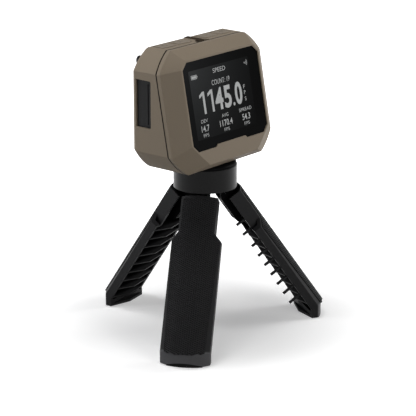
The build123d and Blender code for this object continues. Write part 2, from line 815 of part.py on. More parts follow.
def rear_case():
    seam_top = SEAM_Y - HEIGHT
    body = prism(0, seam_top, REAR_Y - REAR_ROUND)
    face = Pos(0, REAR_Y - REAR_ROUND, MID_Z) * Rot(90, 0, 0)
    end = Pos(0, REAR_Y, MID_Z) * Rot(90, 0, 0)
    body += loft([face * case_outline(0), end * case_outline(REAR_SLOPE)], ruled=True)
    hollow = prism(CASE_WALL, seam_top - 1, INNER_Y)
    body -= hollow
    body -= sight_seat()
    # bosses: four for the case screws, four posts for the board, one for the insert
    inside = prism(CASE_WALL - EPS, seam_top, INNER_Y + EPS)
    for x, z in SCREW_SPOTS:
        body += rear_rod(x, z, BOSS_R, seam_top, INNER_Y + EPS) & inside
    for x, z in POST_SPOTS:
        body += rear_rod(x, z, POST_R, BOARD_BACK, INNER_Y + EPS)
    body += rod(INSERT_BOSS_R, BASE_Z + EPS, BASE_Z + INSERT_LONG) & inside
    # backing for the port door
    backing = rear_box(
        -WIDTH / 2 + CASE_WALL - EPS,
        DOOR_X + DOOR_T + DOOR_SIDE + DOOR_FLOOR,
        DOOR_LOW - DOOR_FLOOR,
        DOOR_HIGH + DOOR_FLOOR,
        DOOR_Y0 - DOOR_FLOOR,
        INNER_Y + EPS,
    )
    body += backing
    recess = rear_box(
        -FAR, DOOR_X + DOOR_T + DOOR_SIDE, DOOR_LOW, DOOR_HIGH, DOOR_Y0, DOOR_Y1
    )
    recess = fillet(recess.edges().filter_by(Axis.X).group_by(Axis.Y)[0], DOOR_ROUND)
    body -= recess
    pin_seat = DOOR_PIN_R + DOOR_PIN_FIT
    body -= Pos(DOOR_PIN_X, DOOR_PIN_Y, MID_Z + DOOR_LOW - DOOR_PIN_SEAT) * extrude(
        Circle(pin_seat), DOOR_HIGH - DOOR_LOW + 2 * DOOR_PIN_SEAT
    )
    port_y = (DOOR_Y0 + DOOR_Y1) / 2
    body -= rear_box(
        -FAR,
        DOOR_X + DOOR_T + DOOR_FLOOR * 2,
        PORT_Z - PORT_H / 2 - PORT_FIT,
        PORT_Z + PORT_H / 2 + PORT_FIT,
        port_y - PORT_W / 2 - PORT_FIT,
        port_y + PORT_W / 2 + PORT_FIT,
    )
    # screws from the back
    for x, z in SCREW_SPOTS:
        body -= rear_rod(x, z, CASE_SCREW_R + CASE_SCREW_FIT, -FAR / 4, REAR_Y + 1)
        body -= rear_rod(x, z, CASE_SCREW_HEAD_R + HEAD_FIT, HEAD_SEAT_Y, REAR_Y + 1)
    # radar window
    body -= round_rect(
        WINDOW_W + 2 * WINDOW_FIT,
        WINDOW_H + 2 * WINDOW_FIT,
        WINDOW_ROUND + WINDOW_FIT,
        REAR_Y + WINDOW_PROUD - WINDOW_T,
        REAR_Y + 1,
    )
    for x in BUTTON_SPOTS:
        body -= button_prism(x, BUTTON_SIDE, TOP_Z - CASE_WALL - 1, TOP_Z + 1)
    body -= rod(INSERT_R + INSERT_FIT, BASE_Z - 1, FAR)
    body -= rod(INSERT_FLANGE_R + INSERT_FIT, BASE_Z - 1, BASE_Z + INSERT_FLANGE_T)
    hole = LANYARD_R + CORE_FIT
    body -= rear_rod(-POST_OUT_X, POST_OUT_Z, hole, INNER_Y - 1, REAR_Y + 1)
    return body & behind(SEAM_Y)


def bezel_loft(inset, y_back, y_front, lip):
    tall = 1 / LEAN_COS
    back = eight(
        WIDTH / 2 - inset,
        (HEIGHT / 2 - inset) * tall,
        (-HEIGHT / 2 + inset) * tall,
        CORNER - inset * 0.6,
        CORNER - inset * 0.6,
        CORNER_BULGE,
    )
    front = eight(
        GLASS_HALF_W + lip,
        (GLASS_TOP + lip) * tall,
        (GLASS_BOTTOM - CHIN_DROP + LIP_W - lip) * tall,
        GLASS_CORNER + lip * 0.6,
        CHIN_DROP + GLASS_CORNER,
        CORNER_BULGE / 4,
        CHIN_HALF_W + lip,
    )
    return loft([leaning(y_back) * back, leaning(y_front) * front], ruled=True)


def glass_outline(grow):
    tall = 1 / LEAN_COS
    low = GLASS_BOTTOM * tall
    flat = eight(
        GLASS_HALF_W + grow,
        GLASS_TOP * tall + grow,
        low - grow,
        GLASS_CORNER + grow * 0.6,
        GLASS_CORNER + grow * 0.6,
        0,
    )
    base_w = TAB_HALF_W - grow
    with BuildSketch() as tab:
        with BuildLine():
            Polyline(
                (-base_w, low - grow - 1),
                (-base_w, low - grow),
                (-base_w + TAB_RISE, low - grow + TAB_RISE),
                (base_w - TAB_RISE, low - grow + TAB_RISE),
                (base_w, low - grow),
                (base_w, low - grow - 1),
                close=True,
            )
        make_face()
    return flat - tab.sketch


def front_bezel():
    back_y = SEAM_Y - SEAM_GAP
    rim_y = back_y - RIM
    body = prism(0, SEAM_Y - HEIGHT, REAR_Y) & front_of(back_y) & behind(rim_y)
    body += bezel_loft(0, rim_y, LIP_Y, LIP_W)
    inner = prism(CASE_WALL, SEAM_Y - HEIGHT, REAR_Y) & front_of(back_y + 1) & behind(rim_y)
    inner += bezel_loft(CASE_WALL, rim_y, LIP_Y + BEZEL_WALL + GLASS_T, -LEDGE + LIP_W)
    body -= inner
    # bosses that the case screws bite into
    bore = leaning(SEAM_Y)
    for x, z in SCREW_SPOTS:
        boss = rear_rod(x, z, BOSS_R, SEAM_Y - HEIGHT, REAR_Y)
        shell = bezel_loft(EPS, rim_y, LIP_Y, LIP_W - EPS)
        shell += prism(EPS, SEAM_Y - HEIGHT, REAR_Y) & front_of(back_y) & behind(rim_y - EPS)
        body += boss & shell
        body -= rear_rod(
            x, z, CASE_SCREW_R + CASE_SCREW_FIT, screw_end(z) - 0.2, REAR_Y
        )
    # seat for the glass, and the window through to the panel
    deep = GLASS_SINK + GLASS_T
    body -= leaning(LIP_Y) * Pos(0, 0, -deep) * extrude(glass_outline(GLASS_FIT), deep + 5)
    body -= leaning(LIP_Y) * Pos(0, PANEL_MID, -deep - PANEL_CUT) * extrude(
        Rectangle(PANEL_W + 2 * LAYER_GAP, PANEL_H + 2 * LAYER_GAP), deep + PANEL_CUT
    )
    return body


def screw_end(z):
    return SEAM_Y + LEAN * z - SEAM_GAP - CASE_SCREW_BITE


def gasket():
    ring = prism(GASKET_IN, SEAM_Y - HEIGHT, REAR_Y) - prism(
        GASKET_IN + GASKET_W, SEAM_Y - HEIGHT - 1, REAR_Y + 1
    )
    ring = ring & front_of(SEAM_Y) & behind(SEAM_Y - SEAM_GAP)
    for x, z in SCREW_SPOTS:
        ring -= rear_rod(x, z, CASE_SCREW_R + CASE_SCREW_FIT, -FAR / 4, REAR_Y)
    return ring


def usb_port():
    port_y = (DOOR_Y0 + DOOR_Y1) / 2
    x0 = DOOR_X + DOOR_T + DOOR_SIDE + LAYER_GAP
    body = rear_box(
        x0,
        x0 + PORT_LONG,
        PORT_Z - PORT_H / 2,
        PORT_Z + PORT_H / 2,
        port_y - PORT_W / 2,
        port_y + PORT_W / 2,
    )
    body = fillet(body.edges().filter_by(Axis.X), PORT_W / 2 - 2 * EPS)
    wall = PORT_FIT * 2
    hollow = rear_box(
        x0 - 1,
        x0 + PORT_LONG - wall * 2,
        PORT_Z - PORT_H / 2 + wall,
        PORT_Z + PORT_H / 2 - wall,
        port_y - PORT_W / 2 + wall,
        port_y + PORT_W / 2 - wall,
    )
    hollow = fillet(hollow.edges().filter_by(Axis.X), PORT_W / 2 - wall - 2 * EPS)
    tongue = rear_box(
        x0 + wall,
        x0 + PORT_LONG - wall,
        PORT_Z - PORT_H / 2 + 3 * wall,
        PORT_Z + PORT_H / 2 - 3 * wall,
        port_y - wall,
        port_y + wall,
    )
    return (body - hollow) + tongue


def port_door():
    x0 = DOOR_X
    x1 = DOOR_X + DOOR_T
    low = DOOR_LOW + DOOR_SIDE
    high = DOOR_HIGH - DOOR_SIDE
    slab = rear_box(x0, x1, low, high, DOOR_Y0 + DOOR_SIDE, DOOR_PIN_Y)
    corners = slab.edges().filter_by(Axis.X).group_by(Axis.Y)[0]
    slab = fillet(corners, DOOR_ROUND - DOOR_SIDE)
    edge = Pos(DOOR_PIN_X, DOOR_PIN_Y, MID_Z + low) * extrude(Circle(DOOR_T / 2), high - low)
    slab += edge
    slab -= Pos(DOOR_PIN_X, DOOR_PIN_Y, MID_Z + low - 1) * extrude(
        Circle(DOOR_PIN_R + DOOR_PIN_FIT), high - low + 2
    )
    nail = DOOR_Y0 + DOOR_SIDE + NAIL_SET
    return slab - rear_box(x0 - 1, x0 + NAIL_DEEP, low + NAIL_SET, high - NAIL_SET, nail, nail + NAIL_W)


def button(x):
    wall_low = TOP_Z - CASE_WALL
    cap = button_prism(x, 0, wall_low - FLANGE_GAP - FLANGE_T, TOP_Z + BUTTON_PROUD)
    flange_top = wall_low - FLANGE_GAP
    flange = button_prism(x, BUTTON_SIDE + FLANGE_OUT, flange_top - FLANGE_T, flange_top)
    plunger = Pos(x, BUTTON_Y, DOME_TOP + BUTTON_TRAVEL + DOME_GAP) * extrude(
        Circle(DOME_R), flange_top - DOME_TOP - BUTTON_TRAVEL - DOME_GAP
    )
    return cap + flange + plunger


STRIP_Z = TOP_Z - CASE_WALL - SWITCH_DROP
DOME_TOP = STRIP_Z + SWITCH_STRIP_T + DOME_H


def switch_strip():
    half = BUTTON_X[1] + BUTTON_W / 2
    strip = box(-half, half, BUTTON_Y - BUTTON_D / 2, INNER_Y, STRIP_Z, STRIP_Z + SWITCH_STRIP_T)
    for x in BUTTON_SPOTS:
        strip += Pos(x, BUTTON_Y, STRIP_Z) * extrude(Circle(DOME_R), SWITCH_STRIP_T + DOME_H)
    return strip


def case_screws():
    out = []
    for x, z in SCREW_SPOTS:
        screw = rear_rod(x, z, CASE_SCREW_R, screw_end(z), HEAD_SEAT_Y + EPS)
        head_end = HEAD_SEAT_Y + CASE_SCREW_HEAD_T
        head = rear_rod(x, z, CASE_SCREW_HEAD_R, HEAD_SEAT_Y, head_end)
        recess = Pos(x, head_end, MID_Z + z) * Rot(90, 0, 0)
        head -= recess * extrude(RegularPolygon(CASE_SCREW_R * 0.9, 6), CASE_SCREW_HEAD_T / 2)
        out.append(screw + head)
    return Compound(out)


keep("rear_case", rear_case())
keep("front_bezel", front_bezel())
keep("seam_gasket", gasket())
keep("sight_rib", sight_rib())
glass = leaning(LIP_Y) * Pos(0, 0, -GLASS_SINK - GLASS_T) * extrude(glass_outline(0), GLASS_T)
keep("display_glass", glass)
panel_at = Pos(0, PANEL_MID, -GLASS_SINK - GLASS_T - PANEL_T)
keep("display_panel", leaning(LIP_Y) * panel_at * extrude(Rectangle(PANEL_W, PANEL_H), PANEL_T))
board = rear_box(-BOARD_HALF_W, BOARD_HALF_W, BOARD_LOW, BOARD_HIGH, BOARD_Y, BOARD_BACK)
for x, z in SCREW_SPOTS:
    board -= rear_rod(x, z, BOSS_R + LAYER_GAP, -FAR / 4, REAR_Y)
board -= rear_box(-FAR, DOOR_X + DOOR_T + DOOR_SIDE + DOOR_FLOOR + PORT_FIT, -FAR, FAR, -FAR, FAR)
keep("main_board", board)
radar_y = REAR_Y + WINDOW_PROUD - WINDOW_T
keep("battery", rear_box(
    -BATTERY_W / 2,
    BATTERY_W / 2,
    BATTERY_Z - BATTERY_H / 2,
    BATTERY_Z + BATTERY_H / 2,
    BOARD_BACK + LAYER_GAP,
    BOARD_BACK + LAYER_GAP + BATTERY_T,
))
keep("radar_board", rear_box(
    -RADAR_W / 2, RADAR_W / 2, -RADAR_H / 2, RADAR_H / 2, INNER_Y - LAYER_GAP - RADAR_T,
    INNER_Y - LAYER_GAP,
))
keep("radar_window", round_rect(WINDOW_W, WINDOW_H, WINDOW_ROUND, radar_y, radar_y + WINDOW_T))
keep("usb_port", usb_port())
keep("buzzer", rear_rod(BUZZER_X, BUZZER_Z, BUZZER_R, BOARD_Y - LAYER_GAP - BUZZER_T, BOARD_Y - LAYER_GAP))
insert = rod(INSERT_R, BASE_Z, BASE_Z + INSERT_LONG)
insert += rod(INSERT_FLANGE_R, BASE_Z, BASE_Z + INSERT_FLANGE_T)
keep("tripod_insert", insert - rod(SCREW_R + SCREW_FIT, 0, FAR))
keep("case_screws", case_screws())
keep("switch_strip", switch_strip())
for label, x in zip(("power", "back", "down", "ok"), BUTTON_SPOTS):
    keep(f"button_{label}", button(x))
keep("port_door", port_door())
pin_low = MID_Z + DOOR_LOW - DOOR_PIN_SEAT + CORE_FIT
pin_long = DOOR_HIGH - DOOR_LOW + 2 * (DOOR_PIN_SEAT - CORE_FIT)
keep("door_pin", Pos(DOOR_PIN_X, DOOR_PIN_Y, pin_low) * extrude(Circle(DOOR_PIN_R), pin_long))
post = rear_rod(-POST_OUT_X, POST_OUT_Z, LANYARD_R, REAR_Y - CASE_WALL, REAR_Y + LANYARD_LONG)
post_end = REAR_Y + LANYARD_LONG
post += rear_rod(-POST_OUT_X, POST_OUT_Z, LANYARD_HEAD_R, post_end - LANYARD_HEAD_T, post_end)
keep("lanyard_post", post)

# -------------------------------------------------------------------- output
for name, shape in NODES.items():
    placed = Pos(0, AXIS_Y, 0) * shape
    solids = placed.solids()
    export_step(solids[0] if len(solids) == 1 else Compound(solids), f"parts/{name}.step")
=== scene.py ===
import bpy
import bmesh
import math
from mathutils import Matrix, Vector


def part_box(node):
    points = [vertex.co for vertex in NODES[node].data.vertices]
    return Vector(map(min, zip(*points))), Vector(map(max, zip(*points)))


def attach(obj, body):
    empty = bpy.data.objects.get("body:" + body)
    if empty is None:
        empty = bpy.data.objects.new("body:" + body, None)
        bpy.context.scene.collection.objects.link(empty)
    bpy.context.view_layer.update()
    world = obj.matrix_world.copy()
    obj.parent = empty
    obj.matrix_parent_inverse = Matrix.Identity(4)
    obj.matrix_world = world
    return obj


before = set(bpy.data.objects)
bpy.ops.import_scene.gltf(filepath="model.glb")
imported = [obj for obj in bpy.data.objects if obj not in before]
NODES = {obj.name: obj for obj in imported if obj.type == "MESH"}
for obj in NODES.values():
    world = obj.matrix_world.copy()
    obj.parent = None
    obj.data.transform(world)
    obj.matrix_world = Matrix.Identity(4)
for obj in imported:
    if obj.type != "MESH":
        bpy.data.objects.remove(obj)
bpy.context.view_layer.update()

bl_info = {
    "name": "Radar meter on a mini tripod",
    "version": (1, 0, 0),
    "blender": (4, 5, 0),
    "location": "3D View > Sidebar > Meter",
    "description": "Finishes, screen graphics and stage for a pocket radar meter on its stand",
    "category": "Object",
}

MM = 0.001
LEAN = math.atan(0.1875)
FOLD_AXIS_Y = (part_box("lock_ring")[0][1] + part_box("lock_ring")[1][1]) / 2
LEG_TURNS = {"rear": 0.0, "front_left": 120.0, "front_right": -120.0}
SPREAD = math.radians(34.8)
BUTTONS = ("power", "back", "down", "ok")

# a leg's knurled face: an arc round an axis that runs along the leg
FACE_AXIS_OUT = 39.62 * MM
FACE_RADIUS = 17.0 * MM
FACE_HALF_WIDTH = 12.4 * MM
NECK_HALF_WIDTH = 9.1 * MM
FACE_LOW = -33 * MM
FACE_HIGH = 49.6 * MM
SHOULDER_UP = 31.6 * MM
SHOULDER_SLOPE = (3.3, 4.3)
TAPER_RUN = 60 * MM
TAPER_FROM = 30 * MM
SKIN_GAP = 0.01 * MM

# the upright band round a leg's foot, lightened as a painted highlight, and the pockets between its ribs,
# darkened as painted shade
BAND_AXIS_OUT = 44.85 * MM
BAND_RADIUS = 18.0 * MM
BAND_HEIGHT = 8.2 * MM
BAND_HIGHLIGHT_GAIN = 6.0
POCKET_MOUTH_OUT = 47.3 * MM
POCKET_TOP = 29.1 * MM

GLASS_THICK = 1.2 * MM
GLASS_HALF_HEIGHT = 18.72 * MM
SCREEN_REACH = 75 * MM
SCREEN_LEAST = 0.02
MARK_LINE = 0.32 * MM
MARK_LIFT = 0.02 * MM
HALF_SEAM_GAP = 0.275 * MM
SEAM_BLUR = 0.2 * MM

# stage: where the floor's white starts and ends, in metres from the stand, and how white it gets; the low
# white near the stand is a painted shadow round it, over its real shadow
FLOOR_HALF = 6
NEAR_FLOOR = (0.02, 0.10)
NEAR_FLOOR_WHITE = 0.58
FAR_FLOOR = (0.06, 0.26)
FAR_FLOOR_WHITE = 0.8
SWEEP_TOP = (0.1, 0.5)
DIM_SKY = (0.9, 0.93, 1.0, 1)
LAMP_TARGET = Vector((0, -0.012, 0.09))
LAMPS = (
    ("key lamp", (-0.15, -0.73, 0.32), 0.24, "key", (1.0, 0.99, 0.97)),
    ("left lamp", (-0.56, 0.42, 0.34), 0.30, "left", (0.97, 0.98, 1.0)),
    ("right lamp", (0.62, -0.40, 0.36), 0.26, "right", (1.0, 1.0, 1.0)),
    ("top lamp", (-0.15, 0.11, 0.84), 0.36, "top", (1.0, 1.0, 1.0)),
)
CAMERA_SPOT = Vector((-0.734, -0.62398, 0.3559))
CAMERA_AIM = Vector((0.0009, -0.01268, 0.0623))


# ------------------------------------------------------------------ settings
class MeterShellSettings(bpy.types.PropertyGroup):
    tan: bpy.props.FloatVectorProperty(
        name="Shell colour", description="Base colour of the moulded shell",
        subtype="COLOR", size=3, min=0, max=1, default=(0.232, 0.189, 0.139))
    button: bpy.props.FloatVectorProperty(
        name="Button colour", description="Base colour of the soft buttons",
        subtype="COLOR", size=3, min=0, max=1, default=(0.209, 0.170, 0.125))
    grain: bpy.props.FloatProperty(
        name="Mould grain", description="Size of the fine moulded grain",
        subtype="DISTANCE", unit="LENGTH", min=0.0001, max=0.002, default=0.00035)


class MeterScreenSettings(bpy.types.PropertyGroup):
    glass: bpy.props.FloatVectorProperty(
        name="Glass colour", description="Colour of the black border glass",
        subtype="COLOR", size=3, min=0, max=1, default=(0.018, 0.019, 0.020))
    lit: bpy.props.FloatVectorProperty(
        name="Panel colour", description="Colour of the lit panel's background",
        subtype="COLOR", size=3, min=0, max=1, default=(0.052, 0.055, 0.057))
    ink: bpy.props.FloatVectorProperty(
        name="Digit colour", description="Colour of the digits",
        subtype="COLOR", size=3, min=0, max=1, default=(0.40, 0.41, 0.41))
    glow: bpy.props.FloatProperty(
        name="Digit glow", description="Emission strength of the digits",
        min=0, max=5, default=0.24)
    lift: bpy.props.FloatProperty(
        name="Graphics lift", description="How far the graphics stand off the glass",
        subtype="DISTANCE", unit="LENGTH", min=0, max=0.001, default=0.00003)


class MeterStandSettings(bpy.types.PropertyGroup):
    leg: bpy.props.FloatVectorProperty(
        name="Leg colour", description="Base colour of the moulded legs",
        subtype="COLOR", size=3, min=0, max=1, default=(0.015, 0.015, 0.0157))
    collar: bpy.props.FloatVectorProperty(
        name="Collar colour", description="Base colour of the satin collar",
        subtype="COLOR", size=3, min=0, max=1, default=(0.0035, 0.0035, 0.0037))
    knurl: bpy.props.FloatVectorProperty(
        name="Knurl colour", description="Colour of the knurl's tips",
        subtype="COLOR", size=3, min=0, max=1, default=(0.027, 0.027, 0.028))
    knurl_pitch: bpy.props.FloatProperty(
        name="Knurl pitch", description="Width of one diamond of the knurl",
        subtype="DISTANCE", unit="LENGTH", min=0.0004, max=0.004, default=0.00216)
    knurl_rise: bpy.props.FloatProperty(
        name="Knurl rise", description="Height of one diamond of the knurl along the leg",
        subtype="DISTANCE", unit="LENGTH", min=0.0004, max=0.004, default=0.00106)
    knurl_depth: bpy.props.FloatProperty(
        name="Knurl depth", description="How deep the diamonds are cut",
        subtype="DISTANCE", unit="LENGTH", min=0, max=0.001, default=0.0003)
    knurl_land: bpy.props.FloatProperty(
        name="Knurl land", description="Width of the flat left round each diamond",
        subtype="DISTANCE", unit="LENGTH", min=0, max=0.001, default=0.00009)
    knurl_margin: bpy.props.FloatProperty(
        name="Knurl margin", description="Smooth edge beside the knurl at the shoulder",
        subtype="DISTANCE", unit="LENGTH", min=0, max=0.005, default=0.0008)
    knurl_taper: bpy.props.FloatProperty(
        name="Knurl taper", description="How much wider the smooth edge is at the foot",
        subtype="DISTANCE", unit="LENGTH", min=0, max=0.008, default=0.0026)
    knurl_end: bpy.props.FloatProperty(
        name="Knurl end", description="Height over the floor at which the knurl stops",
        subtype="DISTANCE", unit="LENGTH", min=0, max=0.05, default=0.0074)


class MeterStageSettings(bpy.types.PropertyGroup):
    floor: bpy.props.FloatVectorProperty(
        name="Floor colour", description="Colour of the pale floor",
        subtype="COLOR", size=3, min=0, max=1, default=(0.70, 0.70, 0.70))
    bounce: bpy.props.FloatProperty(
        name="Floor bounce", description="Share of the floor's colour that bounces onto the meter",
        min=0, max=1, default=0.25)
    lift: bpy.props.FloatProperty(
        name="Floor lift", description="How much white the floor adds for the camera",
        min=0, max=1, default=0.22)
    ambient: bpy.props.FloatProperty(
        name="Ambient", description="Strength of the even light all round", min=0, max=2, default=0.05)
    ceiling: bpy.props.FloatProperty(
        name="Ceiling", description="How white the ceiling over the sweep looks in reflections",
        min=0, max=1, default=0.12)
    key: bpy.props.FloatProperty(
        name="Key lamp", description="Power of the lamp in front", min=0, max=50, default=1.75)
    left: bpy.props.FloatProperty(
        name="Left lamp", description="Power of the lamp behind at the left", min=0, max=50, default=2.1)
    right: bpy.props.FloatProperty(
        name="Right lamp", description="Power of the lamp at the right", min=0, max=50, default=2.1)
    top: bpy.props.FloatProperty(
        name="Top lamp", description="Power of the lamp overhead", min=0, max=50, default=3.1)
    lens: bpy.props.FloatProperty(
        name="Lens", description="Focal length of the camera in millimetres",
        min=20, max=400, default=171.5)


# ------------------------------------------------------------ material helpers
def new_material(name):
    mat = bpy.data.materials.new(name)
    mat.use_nodes = True
    mat.node_tree.nodes.clear()
    out = mat.node_tree.nodes.new("ShaderNodeOutputMaterial")
    shader = mat.node_tree.nodes.new("ShaderNodeBsdfPrincipled")
    mat.node_tree.links.new(shader.outputs["BSDF"], out.inputs["Surface"])
    return mat, mat.node_tree, shader


def add(tree, kind, **values):
    node = tree.nodes.new(kind)
    for key, value in values.items():
        setattr(node, key, value)
    return node


def math_node(tree, operation, a, b=None, c=None, clamp=False):
    node = add(tree, "ShaderNodeMath", operation=operation, use_clamp=clamp)
    for i, value in enumerate((a, b, c)):
        if value is None:
            continue
        if isinstance(value, (int, float)):
            node.inputs[i].default_value = value
        else:
            tree.links.new(value, node.inputs[i])
    return node.outputs[0]


def vector_node(tree, operation, a, b, output=0):
    node = add(tree, "ShaderNodeVectorMath", operation=operation)
    for i, value in enumerate((a, b)):
        if isinstance(value, tuple):
            node.inputs[i].default_value = value
        else:
            tree.links.new(value, node.inputs[i])
    return node.outputs[output]


def scaled(tree, vector, gain):
    node = add(tree, "ShaderNodeVectorMath", operation="SCALE")
    tree.links.new(vector, node.inputs[0])
    tree.links.new(gain, node.inputs["Scale"])
    return node.outputs[0]


def object_place(tree):
    return add(tree, "ShaderNodeTexCoord").outputs["Object"]


def ramp(tree, value, from_min, from_max, to_min, to_max):
    """A soft step from one level to another."""
    node = add(tree, "ShaderNodeMapRange", interpolation_type="SMOOTHSTEP")
    for label, level in (("From Min", from_min), ("From Max", from_max),
                         ("To Min", to_min), ("To Max", to_max)):
        node.inputs[label].default_value = level
    tree.links.new(value, node.inputs["Value"])
    return node.outputs["Result"]


def use_group(tree, group, **values):
    """Adds a node group; an underscore in a value's name stands for a space."""
    node = add(tree, "ShaderNodeGroup", node_tree=group)
    for key, value in values.items():
        node.inputs[key.replace("_", " ")].default_value = value
    return node


def group_of(name, inputs, outputs):
    if name in bpy.data.node_groups:
        return bpy.data.node_groups[name], None, None
    tree = bpy.data.node_groups.new(name, "ShaderNodeTree")
    for label, kind, default in inputs:
        socket = tree.interface.new_socket(name=label, in_out="INPUT", socket_type=kind)
        if default is not None:
            socket.default_value = default
    for label, kind in outputs:
        tree.interface.new_socket(name=label, in_out="OUTPUT", socket_type=kind)
    return tree, tree.nodes.new("NodeGroupInput"), tree.nodes.new("NodeGroupOutput")


def moulded_grain():
    """Fine moulded grain with slow colour drift; puts out a colour, roughness and height."""
    tree, into, out = group_of(
        "moulded grain",
        [("Colour", "NodeSocketColor", (0.2, 0.2, 0.2, 1)), ("Grain size", "NodeSocketFloat", 0.0004),
         ("Drift", "NodeSocketFloat", 0.08), ("Roughness", "NodeSocketFloat", 0.5)],
        [("Colour", "NodeSocketColor"), ("Roughness", "NodeSocketFloat"), ("Height", "NodeSocketFloat")])
    if into is None:
        return tree
    place = object_place(tree)
    scale = math_node(tree, "DIVIDE", 1.0, into.outputs["Grain size"])
    fine = add(tree, "ShaderNodeTexNoise")
    fine.inputs["Detail"].default_value = 3
    fine.inputs["Roughness"].default_value = 0.6
    tree.links.new(place, fine.inputs["Vector"])
    tree.links.new(scale, fine.inputs["Scale"])
    slow = add(tree, "ShaderNodeTexNoise")
    slow.inputs["Scale"].default_value = 45
    slow.inputs["Detail"].default_value = 4
    tree.links.new(place, slow.inputs["Vector"])
    mixed = math_node(tree, "MULTIPLY_ADD", fine.outputs["Fac"], 0.35, -0.175)
    drift = math_node(tree, "ADD", slow.outputs["Fac"], mixed)
    low = math_node(tree, "SUBTRACT", 1.0, into.outputs["Drift"])
    span = math_node(tree, "MULTIPLY", into.outputs["Drift"], 2.0)
    gain = math_node(tree, "MULTIPLY_ADD", drift, span, low)
    tree.links.new(scaled(tree, into.outputs["Colour"], gain), out.inputs["Colour"])
    rough = math_node(tree, "MULTIPLY_ADD", slow.outputs["Fac"], 0.12, -0.06)
    rough = math_node(tree, "ADD", rough, into.outputs["Roughness"])
    tree.links.new(rough, out.inputs["Roughness"])
    tree.links.new(fine.outputs["Fac"], out.inputs["Height"])
    return tree


def hollow_shade():
    """Painted shade in the hollows of a leg's knurl: how far a point stands out of them, as a factor from 0
    to 1.
    """
    tree, into, out = group_of(
        "knurl hollows",
        [("Along", "NodeSocketVector", (0, 0, 1)), ("Axis", "NodeSocketVector", (0, 0, 0)),
         ("Face radius", "NodeSocketFloat", 0.017), ("Depth", "NodeSocketFloat", 0.0003)],
        [("Factor", "NodeSocketFloat")])
    if into is None:
        return tree
    rel = vector_node(tree, "SUBTRACT", object_place(tree), into.outputs["Axis"])
    cross = vector_node(tree, "CROSS_PRODUCT", rel, into.outputs["Along"])
    reach = add(tree, "ShaderNodeVectorMath", operation="LENGTH")
    tree.links.new(cross, reach.inputs[0])
    proud = math_node(tree, "SUBTRACT", reach.outputs["Value"], into.outputs["Face radius"])
    share = math_node(tree, "DIVIDE", proud, into.outputs["Depth"], clamp=True)
    tree.links.new(share, out.inputs["Factor"])
    return tree


def pocket_shade():
    """Painted shade for the pockets between a leg's ribs: how far a point of the shell stands out of them,
    0 deep inside; also a mask of the upright foot band, for a painted highlight.
    """
    tree, into, out = group_of(
        "rib pockets",
        [("Across", "NodeSocketVector", (1, 0, 0)), ("Outward", "NodeSocketVector", (0, 1, 0)),
         ("Along", "NodeSocketVector", (0, 0, 1)), ("Level", "NodeSocketVector", (0, 1, 0)),
         ("Start", "NodeSocketVector", (0, 0, 0)), ("Arc centre", "NodeSocketFloat", FACE_AXIS_OUT),
         ("Arc radius", "NodeSocketFloat", FACE_RADIUS), ("Half width", "NodeSocketFloat", FACE_HALF_WIDTH),
         ("Mouth", "NodeSocketFloat", POCKET_MOUTH_OUT), ("Top", "NodeSocketFloat", POCKET_TOP),
         ("Band height", "NodeSocketFloat", BAND_HEIGHT), ("Band centre", "NodeSocketFloat", BAND_AXIS_OUT),
         ("Band radius", "NodeSocketFloat", BAND_RADIUS)],
        [("Factor", "NodeSocketFloat"), ("Band", "NodeSocketFloat")])
    if into is None:
        return tree
    place = object_place(tree)
    rel = vector_node(tree, "SUBTRACT", place, into.outputs["Start"])
    side, out_by, up_by, level_by = (
        vector_node(tree, "DOT_PRODUCT", rel, into.outputs[axis], "Value")
        for axis in ("Across", "Outward", "Along", "Level"))
    side = math_node(tree, "ABSOLUTE", side)
    rise = math_node(tree, "SUBTRACT", out_by, into.outputs["Arc centre"])
    squares = math_node(tree, "MULTIPLY_ADD", side, side, math_node(tree, "MULTIPLY", rise, rise))
    reach = math_node(tree, "SQRT", squares)
    # the foot's own face is upright, round an arc of its own
    beyond = math_node(tree, "SUBTRACT", level_by, into.outputs["Band centre"])
    beyond = math_node(tree, "MAXIMUM", beyond, 0.0)
    squares = math_node(tree, "MULTIPLY_ADD", side, side, math_node(tree, "MULTIPLY", beyond, beyond))
    upright = math_node(tree, "SQRT", squares)
    # each row: a value, its limit, where the change starts past it, and how far it runs
    tests = (
        (upright, into.outputs["Band radius"], -0.5 * MM, 0.3 * MM),
        (reach, into.outputs["Arc radius"], -0.5 * MM, 0.3 * MM),
        (side, into.outputs["Half width"], -0.5 * MM, 0.3 * MM),
        (up_by, into.outputs["Top"], 0.0, 0.5 * MM),
    )
    factor = math_node(tree, "SUBTRACT", into.outputs["Mouth"], out_by)
    factor = math_node(tree, "MULTIPLY_ADD", factor, 1 / MM, 1.0, clamp=True)
    for value, limit, offset, blur in tests:
        past = math_node(tree, "SUBTRACT", value, limit)
        past = math_node(tree, "MULTIPLY_ADD", past, 1 / blur, -offset / blur, clamp=True)
        factor = math_node(tree, "MAXIMUM", factor, past)
    tree.links.new(factor, out.inputs["Factor"])
    # a mask of the upright foot band, for the painted highlight on it
    parts = add(tree, "ShaderNodeSeparateXYZ")
    tree.links.new(place, parts.inputs[0])
    low = math_node(tree, "SUBTRACT", into.outputs["Band height"], parts.outputs["Z"])
    low = math_node(tree, "MULTIPLY", low, 2 / MM, clamp=True)
    face = math_node(tree, "SUBTRACT", upright, into.outputs["Band radius"])
    face = math_node(tree, "MULTIPLY_ADD", face, 2 / MM, 1.0, clamp=True)
    tree.links.new(math_node(tree, "MULTIPLY", low, face), out.inputs["Band"])
    return tree


